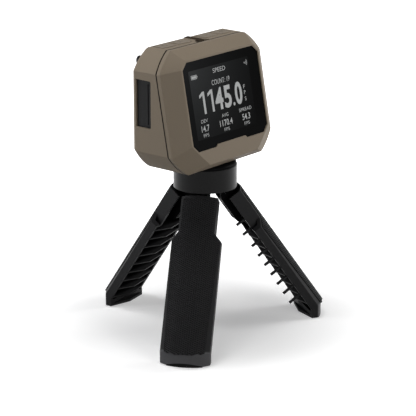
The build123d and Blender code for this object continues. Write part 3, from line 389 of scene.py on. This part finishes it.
def seam_shade():
    """Painted shade on the walls of the seam's groove: how far a point of the case stands clear of them; 0
    is on its walls.
    """
    tree, into, out = group_of(
        "seam groove",
        [("Middle", "NodeSocketVector", (0, 0, 0)), ("Facing", "NodeSocketVector", (0, -1, 0)),
         ("Half gap", "NodeSocketFloat", HALF_SEAM_GAP), ("Blur", "NodeSocketFloat", SEAM_BLUR)],
        [("Factor", "NodeSocketFloat")])
    if into is None:
        return tree
    rel = vector_node(tree, "SUBTRACT", object_place(tree), into.outputs["Middle"])
    off = vector_node(tree, "DOT_PRODUCT", rel, into.outputs["Facing"], "Value")
    clear = math_node(tree, "SUBTRACT", math_node(tree, "ABSOLUTE", off), into.outputs["Half gap"])
    factor = math_node(tree, "DIVIDE", clear, into.outputs["Blur"], clamp=True)
    tree.links.new(factor, out.inputs["Factor"])
    return tree


def screen_painted_reflection():
    """Painted reflection: brighter at the screen's upper left corner and fading away from it; puts out a
    factor.
    """
    tree, into, out = group_of(
        "screen fade",
        [("Corner", "NodeSocketVector", (0, 0, 0)), ("Reach", "NodeSocketFloat", 0.06),
         ("Least", "NodeSocketFloat", 0.1)],
        [("Factor", "NodeSocketFloat")])
    if into is None:
        return tree
    away = vector_node(tree, "DISTANCE", object_place(tree), into.outputs["Corner"], "Value")
    share = math_node(tree, "DIVIDE", away, into.outputs["Reach"])
    fade = math_node(tree, "SUBTRACT", 1.0, share, clamp=True)
    fade = math_node(tree, "MULTIPLY", fade, fade)
    tree.links.new(math_node(tree, "MAXIMUM", fade, into.outputs["Least"]), out.inputs["Factor"])
    return tree


def scale_colour(mat, gain):
    """Scales a material's base colour by a value of its own tree."""
    tree = mat.node_tree
    shader = tree.nodes["Principled BSDF"]
    colour = shader.inputs["Base Color"].links[0].from_socket
    tree.links.new(scaled(tree, colour, gain), shader.inputs["Base Color"])


def paint_screen_reflection(mat, corner):
    """Scales a material's base colour by the screen's painted reflection."""
    fade = use_group(mat.node_tree, screen_painted_reflection(), Corner=corner, Reach=SCREEN_REACH, Least=SCREEN_LEAST)
    scale_colour(mat, fade.outputs["Factor"])


def plastic(name, colour, rough, grain=0.0004, bump=0.15, drift=0.06, coat=0.0, metal=0.0,
            specular=0.5):
    mat, tree, shader = new_material(name)
    base = use_group(tree, moulded_grain(), Colour=(*colour, 1), Grain_size=grain, Drift=drift,
                     Roughness=rough)
    tree.links.new(base.outputs["Colour"], shader.inputs["Base Color"])
    tree.links.new(base.outputs["Roughness"], shader.inputs["Roughness"])
    bump_node = add(tree, "ShaderNodeBump")
    bump_node.inputs["Strength"].default_value = bump
    bump_node.inputs["Distance"].default_value = 0.1 * MM
    tree.links.new(base.outputs["Height"], bump_node.inputs["Height"])
    tree.links.new(bump_node.outputs["Normal"], shader.inputs["Normal"])
    shader.inputs["Metallic"].default_value = metal
    shader.inputs["Coat Weight"].default_value = coat
    shader.inputs["Specular IOR Level"].default_value = specular
    return mat


def paint(node, mat):
    for slot in NODES[node].material_slots:
        slot.material = mat


# --------------------------------------------------------------- mesh helpers
def glass_point(x, v, lift=0.0):
    """A place on the sloping glass: x across, v up the slope from mid height."""
    low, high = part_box("display_glass")
    up = Vector((0, math.sin(LEAN), math.cos(LEAN)))
    out = Vector((0, -math.cos(LEAN), math.sin(LEAN)))
    foot = Vector(((low[0] + high[0]) / 2, low[1], low[2] + GLASS_THICK * math.sin(LEAN)))
    return foot + Vector((x, 0, 0)) + up * (v + GLASS_HALF_HEIGHT) + out * lift


def letters(bm, text, x0, x1, v0, v1, weight=0.0):
    """Adds a line of text, fitted to a flat box, to a bmesh."""
    curve = bpy.data.curves.new("line of text", "FONT")
    curve.body = text
    curve.offset = weight
    curve.resolution_u = 4
    holder = bpy.data.objects.new("line of text", curve)
    bpy.context.scene.collection.objects.link(holder)
    bpy.context.view_layer.update()
    graph = bpy.context.evaluated_depsgraph_get()
    mesh = bpy.data.meshes.new_from_object(holder.evaluated_get(graph))
    bpy.data.objects.remove(holder)
    bpy.data.curves.remove(curve)
    xs = [v.co.x for v in mesh.vertices]
    ys = [v.co.y for v in mesh.vertices]
    wide = (x1 - x0) / (max(xs) - min(xs))
    tall = (v1 - v0) / (max(ys) - min(ys))
    mid_x = (max(xs) + min(xs)) / 2
    place = Matrix.Translation(((x0 + x1) / 2, v0, 0)) @ Matrix.Diagonal((wide, tall, 1, 1))
    place = place @ Matrix.Translation((-mid_x, -min(ys), 0))
    mesh.transform(place)
    bm.from_mesh(mesh)
    bpy.data.meshes.remove(mesh)


def plate(bm, x0, x1, v0, v1, corner=0.0):
    """Adds a flat rounded rectangle to a bmesh."""
    made = bmesh.ops.create_grid(bm, x_segments=1, y_segments=1, size=0.5)["verts"]
    bmesh.ops.scale(bm, vec=(x1 - x0, v1 - v0, 1), verts=made)
    bmesh.ops.translate(bm, vec=((x0 + x1) / 2, (v0 + v1) / 2, 0), verts=made)
    if corner > 0:
        bmesh.ops.bevel(bm, geom=made, offset=corner, offset_type="OFFSET", segments=4, profile=0.5,
                        affect="VERTICES", material=-1)


def one(bm, x, v0, v1):
    """Adds the figure one, with its flag, to a bmesh."""
    stem = 1.5 * MM
    plate(bm, x + 2.5 * MM, x + 2.5 * MM + stem, v0, v1)
    flag = [bm.verts.new(p) for p in (
        (x + 2.5 * MM, v1, 0), (x + 0.1 * MM, v1 - 1.5 * MM, 0),
        (x + 0.1 * MM, v1 - 3.0 * MM, 0), (x + 2.5 * MM, v1 - 1.7 * MM, 0))]
    bmesh.ops.contextual_create(bm, geom=flag)


def arc_band(bm, x, v, radius, width, start, sweep, steps=12):
    """Adds a flat arc of even width to a bmesh."""
    inner = bm.verts.new((x + radius - width / 2, v, 0))
    outer = bm.verts.new((x + radius + width / 2, v, 0))
    edge = bm.edges.new((inner, outer))
    bmesh.ops.rotate(bm, cent=(x, v, 0), matrix=Matrix.Rotation(start, 3, "Z"), verts=[inner, outer])
    bmesh.ops.spin(bm, geom=[inner, outer, edge], cent=(x, v, 0), axis=(0, 0, 1), dvec=(0, 0, 0),
                   angle=sweep, steps=steps, use_duplicate=False,
                   use_merge=abs(sweep) > math.tau - 1e-4)


def lay(bm, name, origin, across, up):
    """Turns a flat bmesh into an object laid on a plane, with its faces outward."""
    across, up = across.normalized(), up.normalized()
    out = across.cross(up)
    turn = Matrix((across, up, out)).transposed().to_4x4()
    bmesh.ops.transform(bm, matrix=Matrix.Translation(origin) @ turn, verts=bm.verts)
    for face in bm.faces:
        face.normal_update()
        if face.normal.dot(out) < 0:
            face.normal_flip()
    mesh = bpy.data.meshes.new(name)
    bm.to_mesh(mesh)
    bm.free()
    piece = bpy.data.objects.new(name, mesh)
    bpy.context.scene.collection.objects.link(piece)
    return piece


def middle_of(node):
    low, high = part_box(node)
    return (Vector(low) + Vector(high)) / 2


def all_of(bm):
    return list(bm.verts) + list(bm.edges) + list(bm.faces)


def finish_piece(piece, mat, body):
    piece.data.materials.clear()
    piece.data.materials.append(mat)
    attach(piece, body)


# ------------------------------------------------------------------ operators
class METER_OT_shell(bpy.types.Operator):
    """Finish the moulded shell, its seam, buttons, port door and lanyard post"""
    bl_idname = "meter.shell"
    bl_label = "Finish the shell"

    def execute(self, context):
        s = context.scene.meter_shell
        shell = plastic("tan moulded shell", s.tan, 0.62, s.grain, 0.22, 0.05, specular=0.25)
        tree = shell.node_tree
        # painted shade: the walls of the seam's groove darken to 5 % of the shell's colour
        groove = use_group(tree, seam_shade(), Middle=middle_of("seam_gasket"),
                           Facing=(0, -math.cos(LEAN), math.sin(LEAN)))
        scale_colour(shell, math_node(tree, "MULTIPLY_ADD", groove.outputs["Factor"], 0.95, 0.05))
        for node in ("rear_case", "front_bezel"):
            paint(node, shell)
        cap = plastic("tan button cap", s.button, 0.55, s.grain * 0.8, 0.15, 0.05)
        for label in BUTTONS:
            paint("button_" + label, cap)
        paint("seam_gasket", plastic("seam gasket rubber", (0.003, 0.0025, 0.002), 0.9, 0.0003, 0.2, 0.08,
                                     specular=0.02))
        paint("port_door", plastic("port door rubber", (0.006, 0.006, 0.0064), 0.5, 0.0003, 0.2, 0.1,
                                   specular=0.12))
        paint("door_pin", plastic("hinge pin steel", (0.42, 0.42, 0.43), 0.3, 0.0003, 0.05, 0.05,
                                  metal=1.0))
        paint("lanyard_post", plastic("lanyard post", (0.012, 0.012, 0.0125), 0.45, 0.0003, 0.1, 0.05,
                                      specular=0.2))
        # dark brown stands in for the shade on the flank of a tan rib: painted shade
        paint("sight_rib", plastic("sight rib", (0.045, 0.033, 0.022), 0.6, 0.0003, 0.1, 0.05,
                                   specular=0.05))
        paint("case_screws", plastic("case screw steel", (0.3, 0.3, 0.31), 0.32, 0.0002, 0.1, 0.08,
                                     metal=1.0))
        return {"FINISHED"}


class METER_OT_inside(bpy.types.Operator):
    """Finish the pieces inside the case and the port behind its door"""
    bl_idname = "meter.inside"
    bl_label = "Finish the inner pieces"

    def execute(self, context):
        board = plastic("circuit board", (0.012, 0.06, 0.03), 0.45, 0.0006, 0.3, 0.25, coat=0.3)
        paint("main_board", board)
        paint("radar_board", board)
        paint("battery", plastic("battery wrap", (0.03, 0.08, 0.2), 0.35, 0.001, 0.1, 0.1, coat=0.4))
        paint("radar_window", plastic("radar window", (0.03, 0.03, 0.032), 0.5, 0.0005, 0.1, 0.05))
        paint("usb_port", plastic("port steel", (0.5, 0.5, 0.51), 0.25, 0.0003, 0.05, 0.05, metal=1.0))
        paint("buzzer", plastic("buzzer can", (0.04, 0.04, 0.042), 0.4, 0.0004, 0.1, 0.1))
        paint("tripod_insert", plastic("brass insert", (0.62, 0.43, 0.17), 0.3, 0.0004, 0.1, 0.1,
                                       metal=1.0))
        paint("switch_strip", plastic("switch strip", (0.08, 0.08, 0.085), 0.6, 0.0004, 0.15, 0.08))
        paint("display_panel", plastic("display panel", (0.01, 0.011, 0.011), 0.3, 0.0005, 0.02, 0.05))
        return {"FINISHED"}


class METER_OT_screen(bpy.types.Operator):
    """Make the glass finish and the readings that show on the screen"""
    bl_idname = "meter.screen"
    bl_label = "Make the screen"

    def execute(self, context):
        s = context.scene.meter_screen
        # painted reflection: the glass and the panel are lighter towards this upper left corner
        corner = glass_point(-27 * MM, 24 * MM)
        glass = plastic("black border glass", s.glass, 0.08, 0.002, 0.004, 0.02, specular=0.02)
        paint_screen_reflection(glass, corner)
        paint("display_glass", glass)
        across = Vector((1, 0, 0))
        up = Vector((0, math.sin(LEAN), math.cos(LEAN)))
        origin = glass_point(0, 0, s.lift)

        field = bmesh.new()
        plate(field, -24.6 * MM, 21.0 * MM, -13.4 * MM, 20.6 * MM, 0.6 * MM)
        panel = lay(field, "screen_field", glass_point(0, 0, s.lift * 0.6), across, up)
        lit = plastic("lit panel", s.lit, 0.14, 0.0012, 0.004, 0.06, specular=0.02)
        paint_screen_reflection(lit, corner)
        finish_piece(panel, lit, "meter")

        ink = bmesh.new()
        # each row, in mm on the glass: text, its left, right, foot and head, and its extra weight
        lines = (
            ("SPEED", -6.6, 2.9, 16.9, 19.1, 0.0),
            ("COUNT: 19", -8.6, 5.0, 11.1, 13.6, 0.0),
            ("4", -7.8, -1.7, -1.6, 9.4, 0.03),
            ("5", -0.9, 4.6, -1.8, 9.4, 0.03),
            (".", 5.4, 6.9, -1.6, 0.1, 0.03),
            ("0", 7.6, 13.1, -1.8, 9.6, 0.03),
            ("F", 14.6, 15.8, 5.4, 7.3, 0.0),
            ("P", 14.6, 15.8, 2.5, 4.4, 0.0),
            ("S", 14.6, 15.8, -0.7, 1.2, 0.0),
            ("DEV", -20.4, -15.4, -5.6, -3.9, 0.0),
            ("AVG", -4.6, 0.4, -5.6, -3.9, 0.0),
            ("SPREAD", 8.9, 18.6, -5.6, -3.9, 0.0),
            ("14.7", -20.8, -14.9, -10.0, -6.9, 0.01),
            ("1170.4", -6.8, 2.9, -10.0, -6.9, 0.01),
            ("54.3", 10.7, 16.8, -10.0, -6.9, 0.01),
            ("FPS", -19.9, -15.8, -12.6, -11.0, 0.0),
            ("FPS", -4.0, 0.1, -12.6, -11.0, 0.0),
            ("FPS", 11.7, 15.8, -12.6, -11.0, 0.0),
        )
        for text, x0, x1, v0, v1, weight in lines:
            letters(ink, text, x0 * MM, x1 * MM, v0 * MM, v1 * MM, weight)
        for left in (-19.3, -13.1):
            one(ink, left * MM, -1.6 * MM, 9.4 * MM)
        # battery gauge, in mm: four rails, a nub and its charge
        gauge = (
            (-23.2, -18.9, 18.0, 18.25), (-23.2, -18.9, 16.25, 16.5), (-23.2, -22.95, 16.5, 18.0),
            (-19.15, -18.9, 16.5, 18.0), (-18.8, -18.4, 16.9, 17.6), (-22.75, -19.35, 16.7, 17.8),
        )
        for sides in gauge:
            plate(ink, *(side * MM for side in sides))
        # signal mark: a dot and two waves
        plate(ink, 17.6 * MM, 18.3 * MM, 17.4 * MM, 18.1 * MM, 0.3 * MM)
        for radius in (1.1, 1.9):
            arc_band(ink, 17.95 * MM, 17.75 * MM, radius * MM, 0.28 * MM, -0.75, 1.5)
        readings = lay(ink, "screen_readings", origin, across, up)
        mat = plastic("reading ink", s.ink, 0.4, 0.0006, 0.01, 0.05, specular=0.1)
        shader = mat.node_tree.nodes["Principled BSDF"]
        shader.inputs["Emission Color"].default_value = (*s.ink, 1)
        shader.inputs["Emission Strength"].default_value = s.glow
        finish_piece(readings, mat, "meter")
        return {"FINISHED"}


class METER_OT_marks(bpy.types.Operator):
    """Print a plain mark on each of the four buttons"""
    bl_idname = "meter.marks"
    bl_label = "Mark the buttons"

    def execute(self, context):
        tan = context.scene.meter_shell.button
        mat = plastic("button mark", tuple(0.42 * c for c in tan), 0.6, 0.0003, 0.1, 0.1)
        half = MARK_LINE / 2
        for label in BUTTONS:
            spot = middle_of("button_" + label)
            spot.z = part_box("button_" + label)[1][2] + MARK_LIFT
            bm = bmesh.new()
            if label == "power":
                arc_band(bm, 0, 0, 1.3 * MM, MARK_LINE, math.radians(125), math.radians(290), 20)
                plate(bm, -half, half, 0.3 * MM, 1.8 * MM, 0.05 * MM)
            elif label == "back":
                plate(bm, -1.3 * MM, 1.5 * MM, -half, half, 0.05 * MM)
                arc_band(bm, 0.2 * MM, 0, 1.5 * MM, MARK_LINE, math.radians(140), math.radians(80), 8)
            elif label == "down":
                for turn in (0.75, -0.75):
                    bar = bmesh.new()
                    plate(bar, -half, half, 0, 1.8 * MM, 0.05 * MM)
                    bmesh.ops.rotate(bar, cent=(0, 0, 0), matrix=Matrix.Rotation(turn, 3, "Z"),
                                     verts=bar.verts)
                    bmesh.ops.translate(bar, vec=(0, -0.7 * MM, 0), verts=bar.verts)
                    arm = bpy.data.meshes.new("arm of a mark")
                    bar.to_mesh(arm)
                    bar.free()
                    bm.from_mesh(arm)
                    bpy.data.meshes.remove(arm)
            else:
                arc_band(bm, 0, 0, 1.1 * MM, MARK_LINE, 0, math.tau, 24)
                plate(bm, -0.35 * MM, 0.35 * MM, -0.35 * MM, 0.35 * MM, 0.3 * MM)
            mark = lay(bm, "mark_" + label, spot, Vector((1, 0, 0)), Vector((0, 1, 0)))
            finish_piece(mark, mat, "button_" + label)
        return {"FINISHED"}


class METER_OT_head(bpy.types.Operator):
    """Finish the collar, hub and tilting head under the meter"""
    bl_idname = "meter.head"
    bl_label = "Finish the head"

    def execute(self, context):
        s = context.scene.meter_stand
        collar = plastic("satin collar", s.collar, 0.3, 0.0005, 0.06, 0.05, specular=0.1)
        paint("lock_ring", collar)
        black = plastic("stand black", (0.003, 0.003, 0.0032), 0.42, 0.0004, 0.12, 0.08, specular=0.02)
        for node in ("hub", "hub_retainer", "seat_cup", "pan_clip", "level_plate"):
            paint(node, black)
        paint("plate_pad", plastic("plate pad rubber", (0.014, 0.014, 0.014), 0.75, 0.0003, 0.3, 0.1))
        steel = plastic("stand steel", (0.35, 0.35, 0.36), 0.3, 0.0003, 0.08, 0.06, metal=1.0)
        for node in ("clamp_washer", "clamp_nut", "camera_screw"):
            paint(node, steel)
        return {"FINISHED"}


def leg_frame(label):
    """The axes of one leg: across it, out of its knurled face, up along it, and its start."""
    turn = Matrix.Rotation(math.radians(LEG_TURNS[label]), 3, "Z")
    across = turn @ Vector((1, 0, 0))
    outward = turn @ Vector((0, math.cos(SPREAD), math.sin(SPREAD)))
    along = turn @ Vector((0, -math.sin(SPREAD), math.cos(SPREAD)))
    return across, outward, along, Vector((0, FOLD_AXIS_Y, 0))


def whole(faces):
    """Faces with their edges and corners, as the cutting operators want them."""
    edges = {edge for face in faces for edge in face.edges}
    verts = {vert for face in faces for vert in face.verts}
    return list(verts) + list(edges) + list(faces)


def knurl_skin(label, settings):
    """Raised face with rows of diamond hollows, narrower at the foot and toothed at its lower end."""
    across, outward, along, start = leg_frame(label)
    broad = math.asin(FACE_HALF_WIDTH / FACE_RADIUS) * FACE_RADIUS - settings.knurl_margin
    neck = math.asin(NECK_HALF_WIDTH / FACE_RADIUS) * FACE_RADIUS - settings.knurl_margin
    taper = settings.knurl_taper / TAPER_RUN
    wide, tall = settings.knurl_pitch, settings.knurl_rise
    count = math.ceil((FACE_HIGH - FACE_LOW) / tall + 2 * broad / wide) + 2
    bm = bmesh.new()
    bmesh.ops.create_grid(bm, x_segments=count, y_segments=count, size=count / math.sqrt(2) / 2)
    bmesh.ops.rotate(bm, cent=(0, 0, 0), matrix=Matrix.Rotation(math.pi / 4, 3, "Z"), verts=bm.verts)
    bmesh.ops.scale(bm, vec=(wide, tall, 1), verts=bm.verts)
    bmesh.ops.translate(bm, vec=(0, (FACE_HIGH + FACE_LOW) / 2, 0), verts=bm.verts)
    for way in (1, -1):
        bmesh.ops.bisect_plane(bm, geom=all_of(bm), plane_co=(way * broad, TAPER_FROM, 0),
                               plane_no=(way, -taper, 0), clear_outer=True)
    bmesh.ops.bisect_plane(bm, geom=all_of(bm), plane_co=(0, FACE_HIGH, 0), plane_no=(0, 1, 0),
                           clear_outer=True)
    # the face steps in to the neck at a sloping shoulder
    for way in (1, -1):
        upper = [f for f in bm.faces if f.calc_center_median().y > 28.0 * MM]
        bmesh.ops.bisect_plane(bm, geom=whole(upper), plane_co=(way * neck, 0, 0), plane_no=(way, 0, 0))
        outer = [f for f in bm.faces if f.calc_center_median().y > 27.0 * MM
                 and way * f.calc_center_median().x > neck]
        bmesh.ops.bisect_plane(bm, geom=whole(outer), plane_co=(way * neck, SHOULDER_UP, 0),
                               plane_no=(way * SHOULDER_SLOPE[0], SHOULDER_SLOPE[1], 0), clear_outer=True)
    spare = []
    for face in bm.faces:
        x, t, _ = face.calc_center_median()
        face_out = FACE_AXIS_OUT + FACE_RADIUS * math.cos(x / FACE_RADIUS)
        height = face_out * math.sin(SPREAD) + t * math.cos(SPREAD)
        if height < settings.knurl_end or (t > SHOULDER_UP and abs(x) > neck):
            spare.append(face)
    bmesh.ops.delete(bm, geom=spare, context="FACES")
    # a skirt closes the gap to the leg, and each diamond is sunk in its middle
    border = [edge for edge in bm.edges if edge.is_boundary]
    tops = list(bm.faces)
    skirt = bmesh.ops.extrude_edge_only(bm, edges=border)["geom"]
    bmesh.ops.translate(bm, vec=(0, 0, -settings.knurl_depth),
                        verts=[g for g in skirt if isinstance(g, bmesh.types.BMVert)])
    bmesh.ops.inset_individual(bm, faces=tops, thickness=settings.knurl_land, depth=0)
    bmesh.ops.poke(bm, faces=tops, offset=-settings.knurl_depth, center_mode="MEAN_WEIGHTED")
    # the flat pattern is rolled onto the leg's round face
    for vert in bm.verts:
        angle = vert.co.x / FACE_RADIUS
        reach = FACE_RADIUS + settings.knurl_depth + SKIN_GAP + vert.co.z
        vert.co = (start + across * (reach * math.sin(angle))
                   + outward * (FACE_AXIS_OUT + reach * math.cos(angle)) + along * vert.co.y)
    bmesh.ops.recalc_face_normals(bm, faces=bm.faces)
    middle = max(bm.faces, key=lambda f: f.calc_center_median().dot(outward))
    if middle.normal.dot(outward) < 0:
        bmesh.ops.reverse_faces(bm, faces=bm.faces)
    mesh = bpy.data.meshes.new("knurl_" + label)
    bm.to_mesh(mesh)
    bm.free()
    skin = bpy.data.objects.new("knurl_" + label, mesh)
    bpy.context.scene.collection.objects.link(skin)
    return skin


class METER_OT_legs(bpy.types.Operator):
    """Cut the diamond knurl on the three legs and finish their cores, pins and pads"""
    bl_idname = "meter.legs"
    bl_label = "Finish the legs"

    def execute(self, context):
        s = context.scene.meter_stand
        core = plastic("leg core nylon", (0.0022, 0.0022, 0.0024), 0.45, 0.0004, 0.15, 0.1,
                       specular=0.015)
        steel = plastic("leg screw steel", (0.25, 0.25, 0.26), 0.35, 0.0002, 0.1, 0.08, metal=1.0)
        pad = plastic("foot pad rubber", (0.01, 0.01, 0.01), 0.7, 0.0003, 0.3, 0.1, specular=0.1)
        for label in LEG_TURNS:
            across, outward, along, start = leg_frame(label)
            shell = plastic("leg shell " + label.replace("_", " "), s.leg, 0.42, 0.0004, 0.12, 0.08,
                            specular=0.09)
            tree = shell.node_tree
            pocket = use_group(tree, pocket_shade(), Across=across, Outward=outward, Along=along,
                               Level=Vector((0, 0, 1)).cross(across), Start=start)
            # painted shade: the pockets between the ribs darken to 6 % of the shell's colour
            gain = math_node(tree, "MULTIPLY_ADD", pocket.outputs["Factor"], 0.94, 0.06)
            # painted highlight: the upright foot band is made up to seven times lighter
            band = math_node(tree, "MULTIPLY_ADD", pocket.outputs["Band"], BAND_HIGHLIGHT_GAIN, 1.0)
            scale_colour(shell, math_node(tree, "MULTIPLY", gain, band))
            skin = knurl_skin(label, s)
            mat = plastic("leg knurl " + label.replace("_", " "), s.knurl, 0.34, 0.0004, 0.08, 0.08,
                          specular=0.03)
            tree = mat.node_tree
            hollow = use_group(tree, hollow_shade(), Along=along, Axis=start + outward * FACE_AXIS_OUT,
                               Face_radius=FACE_RADIUS, Depth=s.knurl_depth)
            # painted shade: the knurl's hollows darken to 2 % of the tips' colour
            scale_colour(mat, math_node(tree, "MULTIPLY_ADD", hollow.outputs["Factor"], 0.98, 0.02))
            finish_piece(skin, mat, "leg_" + label)
            paint("leg_" + label + "_shell", shell)
            paint("leg_" + label + "_core", core)
            paint("leg_" + label + "_pin", steel)
            paint("leg_" + label + "_screws", steel)
            paint("leg_" + label + "_foot", pad)
        return {"FINISHED"}


def seen_share(tree, sheen=None):
    """1 for what the camera, a reflection or a clear piece sees, and 0 for light that bounces."""
    path = add(tree, "ShaderNodeLightPath")
    glossy = path.outputs["Is Glossy Ray"]
    if sheen is not None:
        glossy = math_node(tree, "MULTIPLY", glossy, sheen)
    seen = math_node(tree, "MAXIMUM", path.outputs["Is Camera Ray"], glossy)
    return math_node(tree, "MAXIMUM", seen, path.outputs["Is Transmission Ray"])


def floor_material(settings):
    """Pale floor that keeps its real shadow, with a painted shadow round the stand where its added white is
    least, and turns white with its distance from the stand.
    """
    mat, tree, shader = new_material("pale floor")
    base = use_group(tree, moulded_grain(), Colour=(*settings.floor, 1), Grain_size=20 * MM, Drift=0.01,
                     Roughness=0.8)
    tree.links.new(base.outputs["Roughness"], shader.inputs["Roughness"])
    seen = seen_share(tree)
    share = math_node(tree, "MULTIPLY_ADD", seen, 1 - settings.bounce, settings.bounce)
    tree.links.new(scaled(tree, base.outputs["Colour"], share), shader.inputs["Base Color"])
    away = vector_node(tree, "DISTANCE", object_place(tree), (0, FOLD_AXIS_Y, 0), "Value")
    # painted shadow: the added white is least at the stand and rises away from it
    near = ramp(tree, away, NEAR_FLOOR[0], NEAR_FLOOR[1], settings.lift, NEAR_FLOOR_WHITE)
    far = ramp(tree, away, FAR_FLOOR[0], FAR_FLOOR[1], 0.0, FAR_FLOOR_WHITE)
    white = add(tree, "ShaderNodeEmission")
    tree.links.new(math_node(tree, "ADD", near, far), white.inputs["Strength"])
    both = add(tree, "ShaderNodeAddShader")
    seen_white = add(tree, "ShaderNodeMixShader")
    tree.links.new(seen, seen_white.inputs["Fac"])
    tree.links.new(white.outputs["Emission"], seen_white.inputs[2])
    tree.links.new(shader.outputs["BSDF"], both.inputs[0])
    tree.links.new(seen_white.outputs["Shader"], both.inputs[1])
    out = next(n for n in tree.nodes if n.type == "OUTPUT_MATERIAL")
    tree.links.new(both.outputs["Shader"], out.inputs["Surface"])
    return mat


def studio_world(settings):
    """Dim even light, with white where it is seen, and a darker ceiling over the white in reflections."""
    world = bpy.data.worlds.new("studio world")
    world.use_nodes = True
    tree = world.node_tree
    tree.nodes.clear()
    out = add(tree, "ShaderNodeOutputWorld")
    mix = add(tree, "ShaderNodeMixShader")
    for i, colour, strength in ((1, DIM_SKY, settings.ambient), (2, (1, 1, 1, 1), 1.0)):
        sky = add(tree, "ShaderNodeBackground")
        sky.inputs["Color"].default_value = colour
        sky.inputs["Strength"].default_value = strength
        tree.links.new(sky.outputs["Background"], mix.inputs[i])
    parts = add(tree, "ShaderNodeSeparateXYZ")
    tree.links.new(add(tree, "ShaderNodeTexCoord").outputs["Generated"], parts.inputs[0])
    sweep = ramp(tree, parts.outputs["Z"], SWEEP_TOP[0], SWEEP_TOP[1], 1.0, settings.ceiling)
    tree.links.new(seen_share(tree, sweep), mix.inputs["Fac"])
    tree.links.new(mix.outputs["Shader"], out.inputs["Surface"])
    return world


class METER_OT_stage(bpy.types.Operator):
    """Set the pale floor, the soft lights, the world and the camera"""
    bl_idname = "meter.stage"
    bl_label = "Set the stage"

    def execute(self, context):
        s = context.scene.meter_stage
        scene = context.scene
        scene.view_settings.view_transform = "Standard"
        bm = bmesh.new()
        bmesh.ops.create_grid(bm, x_segments=1, y_segments=1, size=FLOOR_HALF)
        mesh = bpy.data.meshes.new("floor")
        bm.to_mesh(mesh)
        bm.free()
        floor = bpy.data.objects.new("floor", mesh)
        scene.collection.objects.link(floor)
        floor.data.materials.append(floor_material(s))
        scene.world = studio_world(s)

        for name, spot, size, setting, tint in LAMPS:
            data = bpy.data.lights.new(name, "AREA")
            data.shape = "SQUARE"
            data.size = size
            data.energy = getattr(s, setting)
            data.color = tint
            lamp = bpy.data.objects.new(name, data)
            lamp.location = spot
            lamp.rotation_euler = (LAMP_TARGET - Vector(spot)).to_track_quat("-Z", "Y").to_euler()
            scene.collection.objects.link(lamp)

        cam = bpy.data.cameras.new("studio camera")
        cam.sensor_width = 36
        cam.lens = s.lens
        cam.clip_start = 0.01
        holder = bpy.data.objects.new("studio camera", cam)
        holder.location = CAMERA_SPOT
        holder.rotation_euler = (CAMERA_AIM - CAMERA_SPOT).to_track_quat("-Z", "Y").to_euler()
        scene.collection.objects.link(holder)
        scene.camera = holder
        return {"FINISHED"}


# ---------------------------------------------------------- panel and running
STEPS = ("shell", "inside", "screen", "marks", "head", "legs", "stage")


class METER_PT_panel(bpy.types.Panel):
    """Lists the steps that dress the meter and the sizes and colours they use"""
    bl_idname = "METER_PT_panel"
    bl_label = "Radar meter"
    bl_space_type = "VIEW_3D"
    bl_region_type = "UI"
    bl_category = "Meter"

    def draw(self, context):
        layout = self.layout
        for step in STEPS:
            layout.operator("meter." + step)
        for group in ("meter_shell", "meter_screen", "meter_stand", "meter_stage"):
            box = layout.box()
            settings = getattr(context.scene, group)
            for key in settings.bl_rna.properties.keys():
                if key not in ("rna_type", "name"):
                    box.prop(settings, key)


GROUPS = (
    ("meter_shell", MeterShellSettings),
    ("meter_screen", MeterScreenSettings),
    ("meter_stand", MeterStandSettings),
    ("meter_stage", MeterStageSettings),
)
OPERATORS = (METER_OT_shell, METER_OT_inside, METER_OT_screen, METER_OT_marks, METER_OT_head,
             METER_OT_legs, METER_OT_stage)


def register():
    for name, group in GROUPS:
        bpy.utils.register_class(group)
        setattr(bpy.types.Scene, name, bpy.props.PointerProperty(type=group))
    for operator in OPERATORS:
        bpy.utils.register_class(operator)
    bpy.utils.register_class(METER_PT_panel)


def unregister():
    bpy.utils.unregister_class(METER_PT_panel)
    for operator in reversed(OPERATORS):
        bpy.utils.unregister_class(operator)
    for name, group in reversed(GROUPS):
        delattr(bpy.types.Scene, name)
        bpy.utils.unregister_class(group)


def main():
    register()
    bpy.ops.meter.stage()
    bpy.ops.meter.shell()
    bpy.ops.meter.inside()
    bpy.ops.meter.screen()
    bpy.ops.meter.marks()
    bpy.ops.meter.head()
    bpy.ops.meter.legs()


if __name__ == "__main__":
    main()
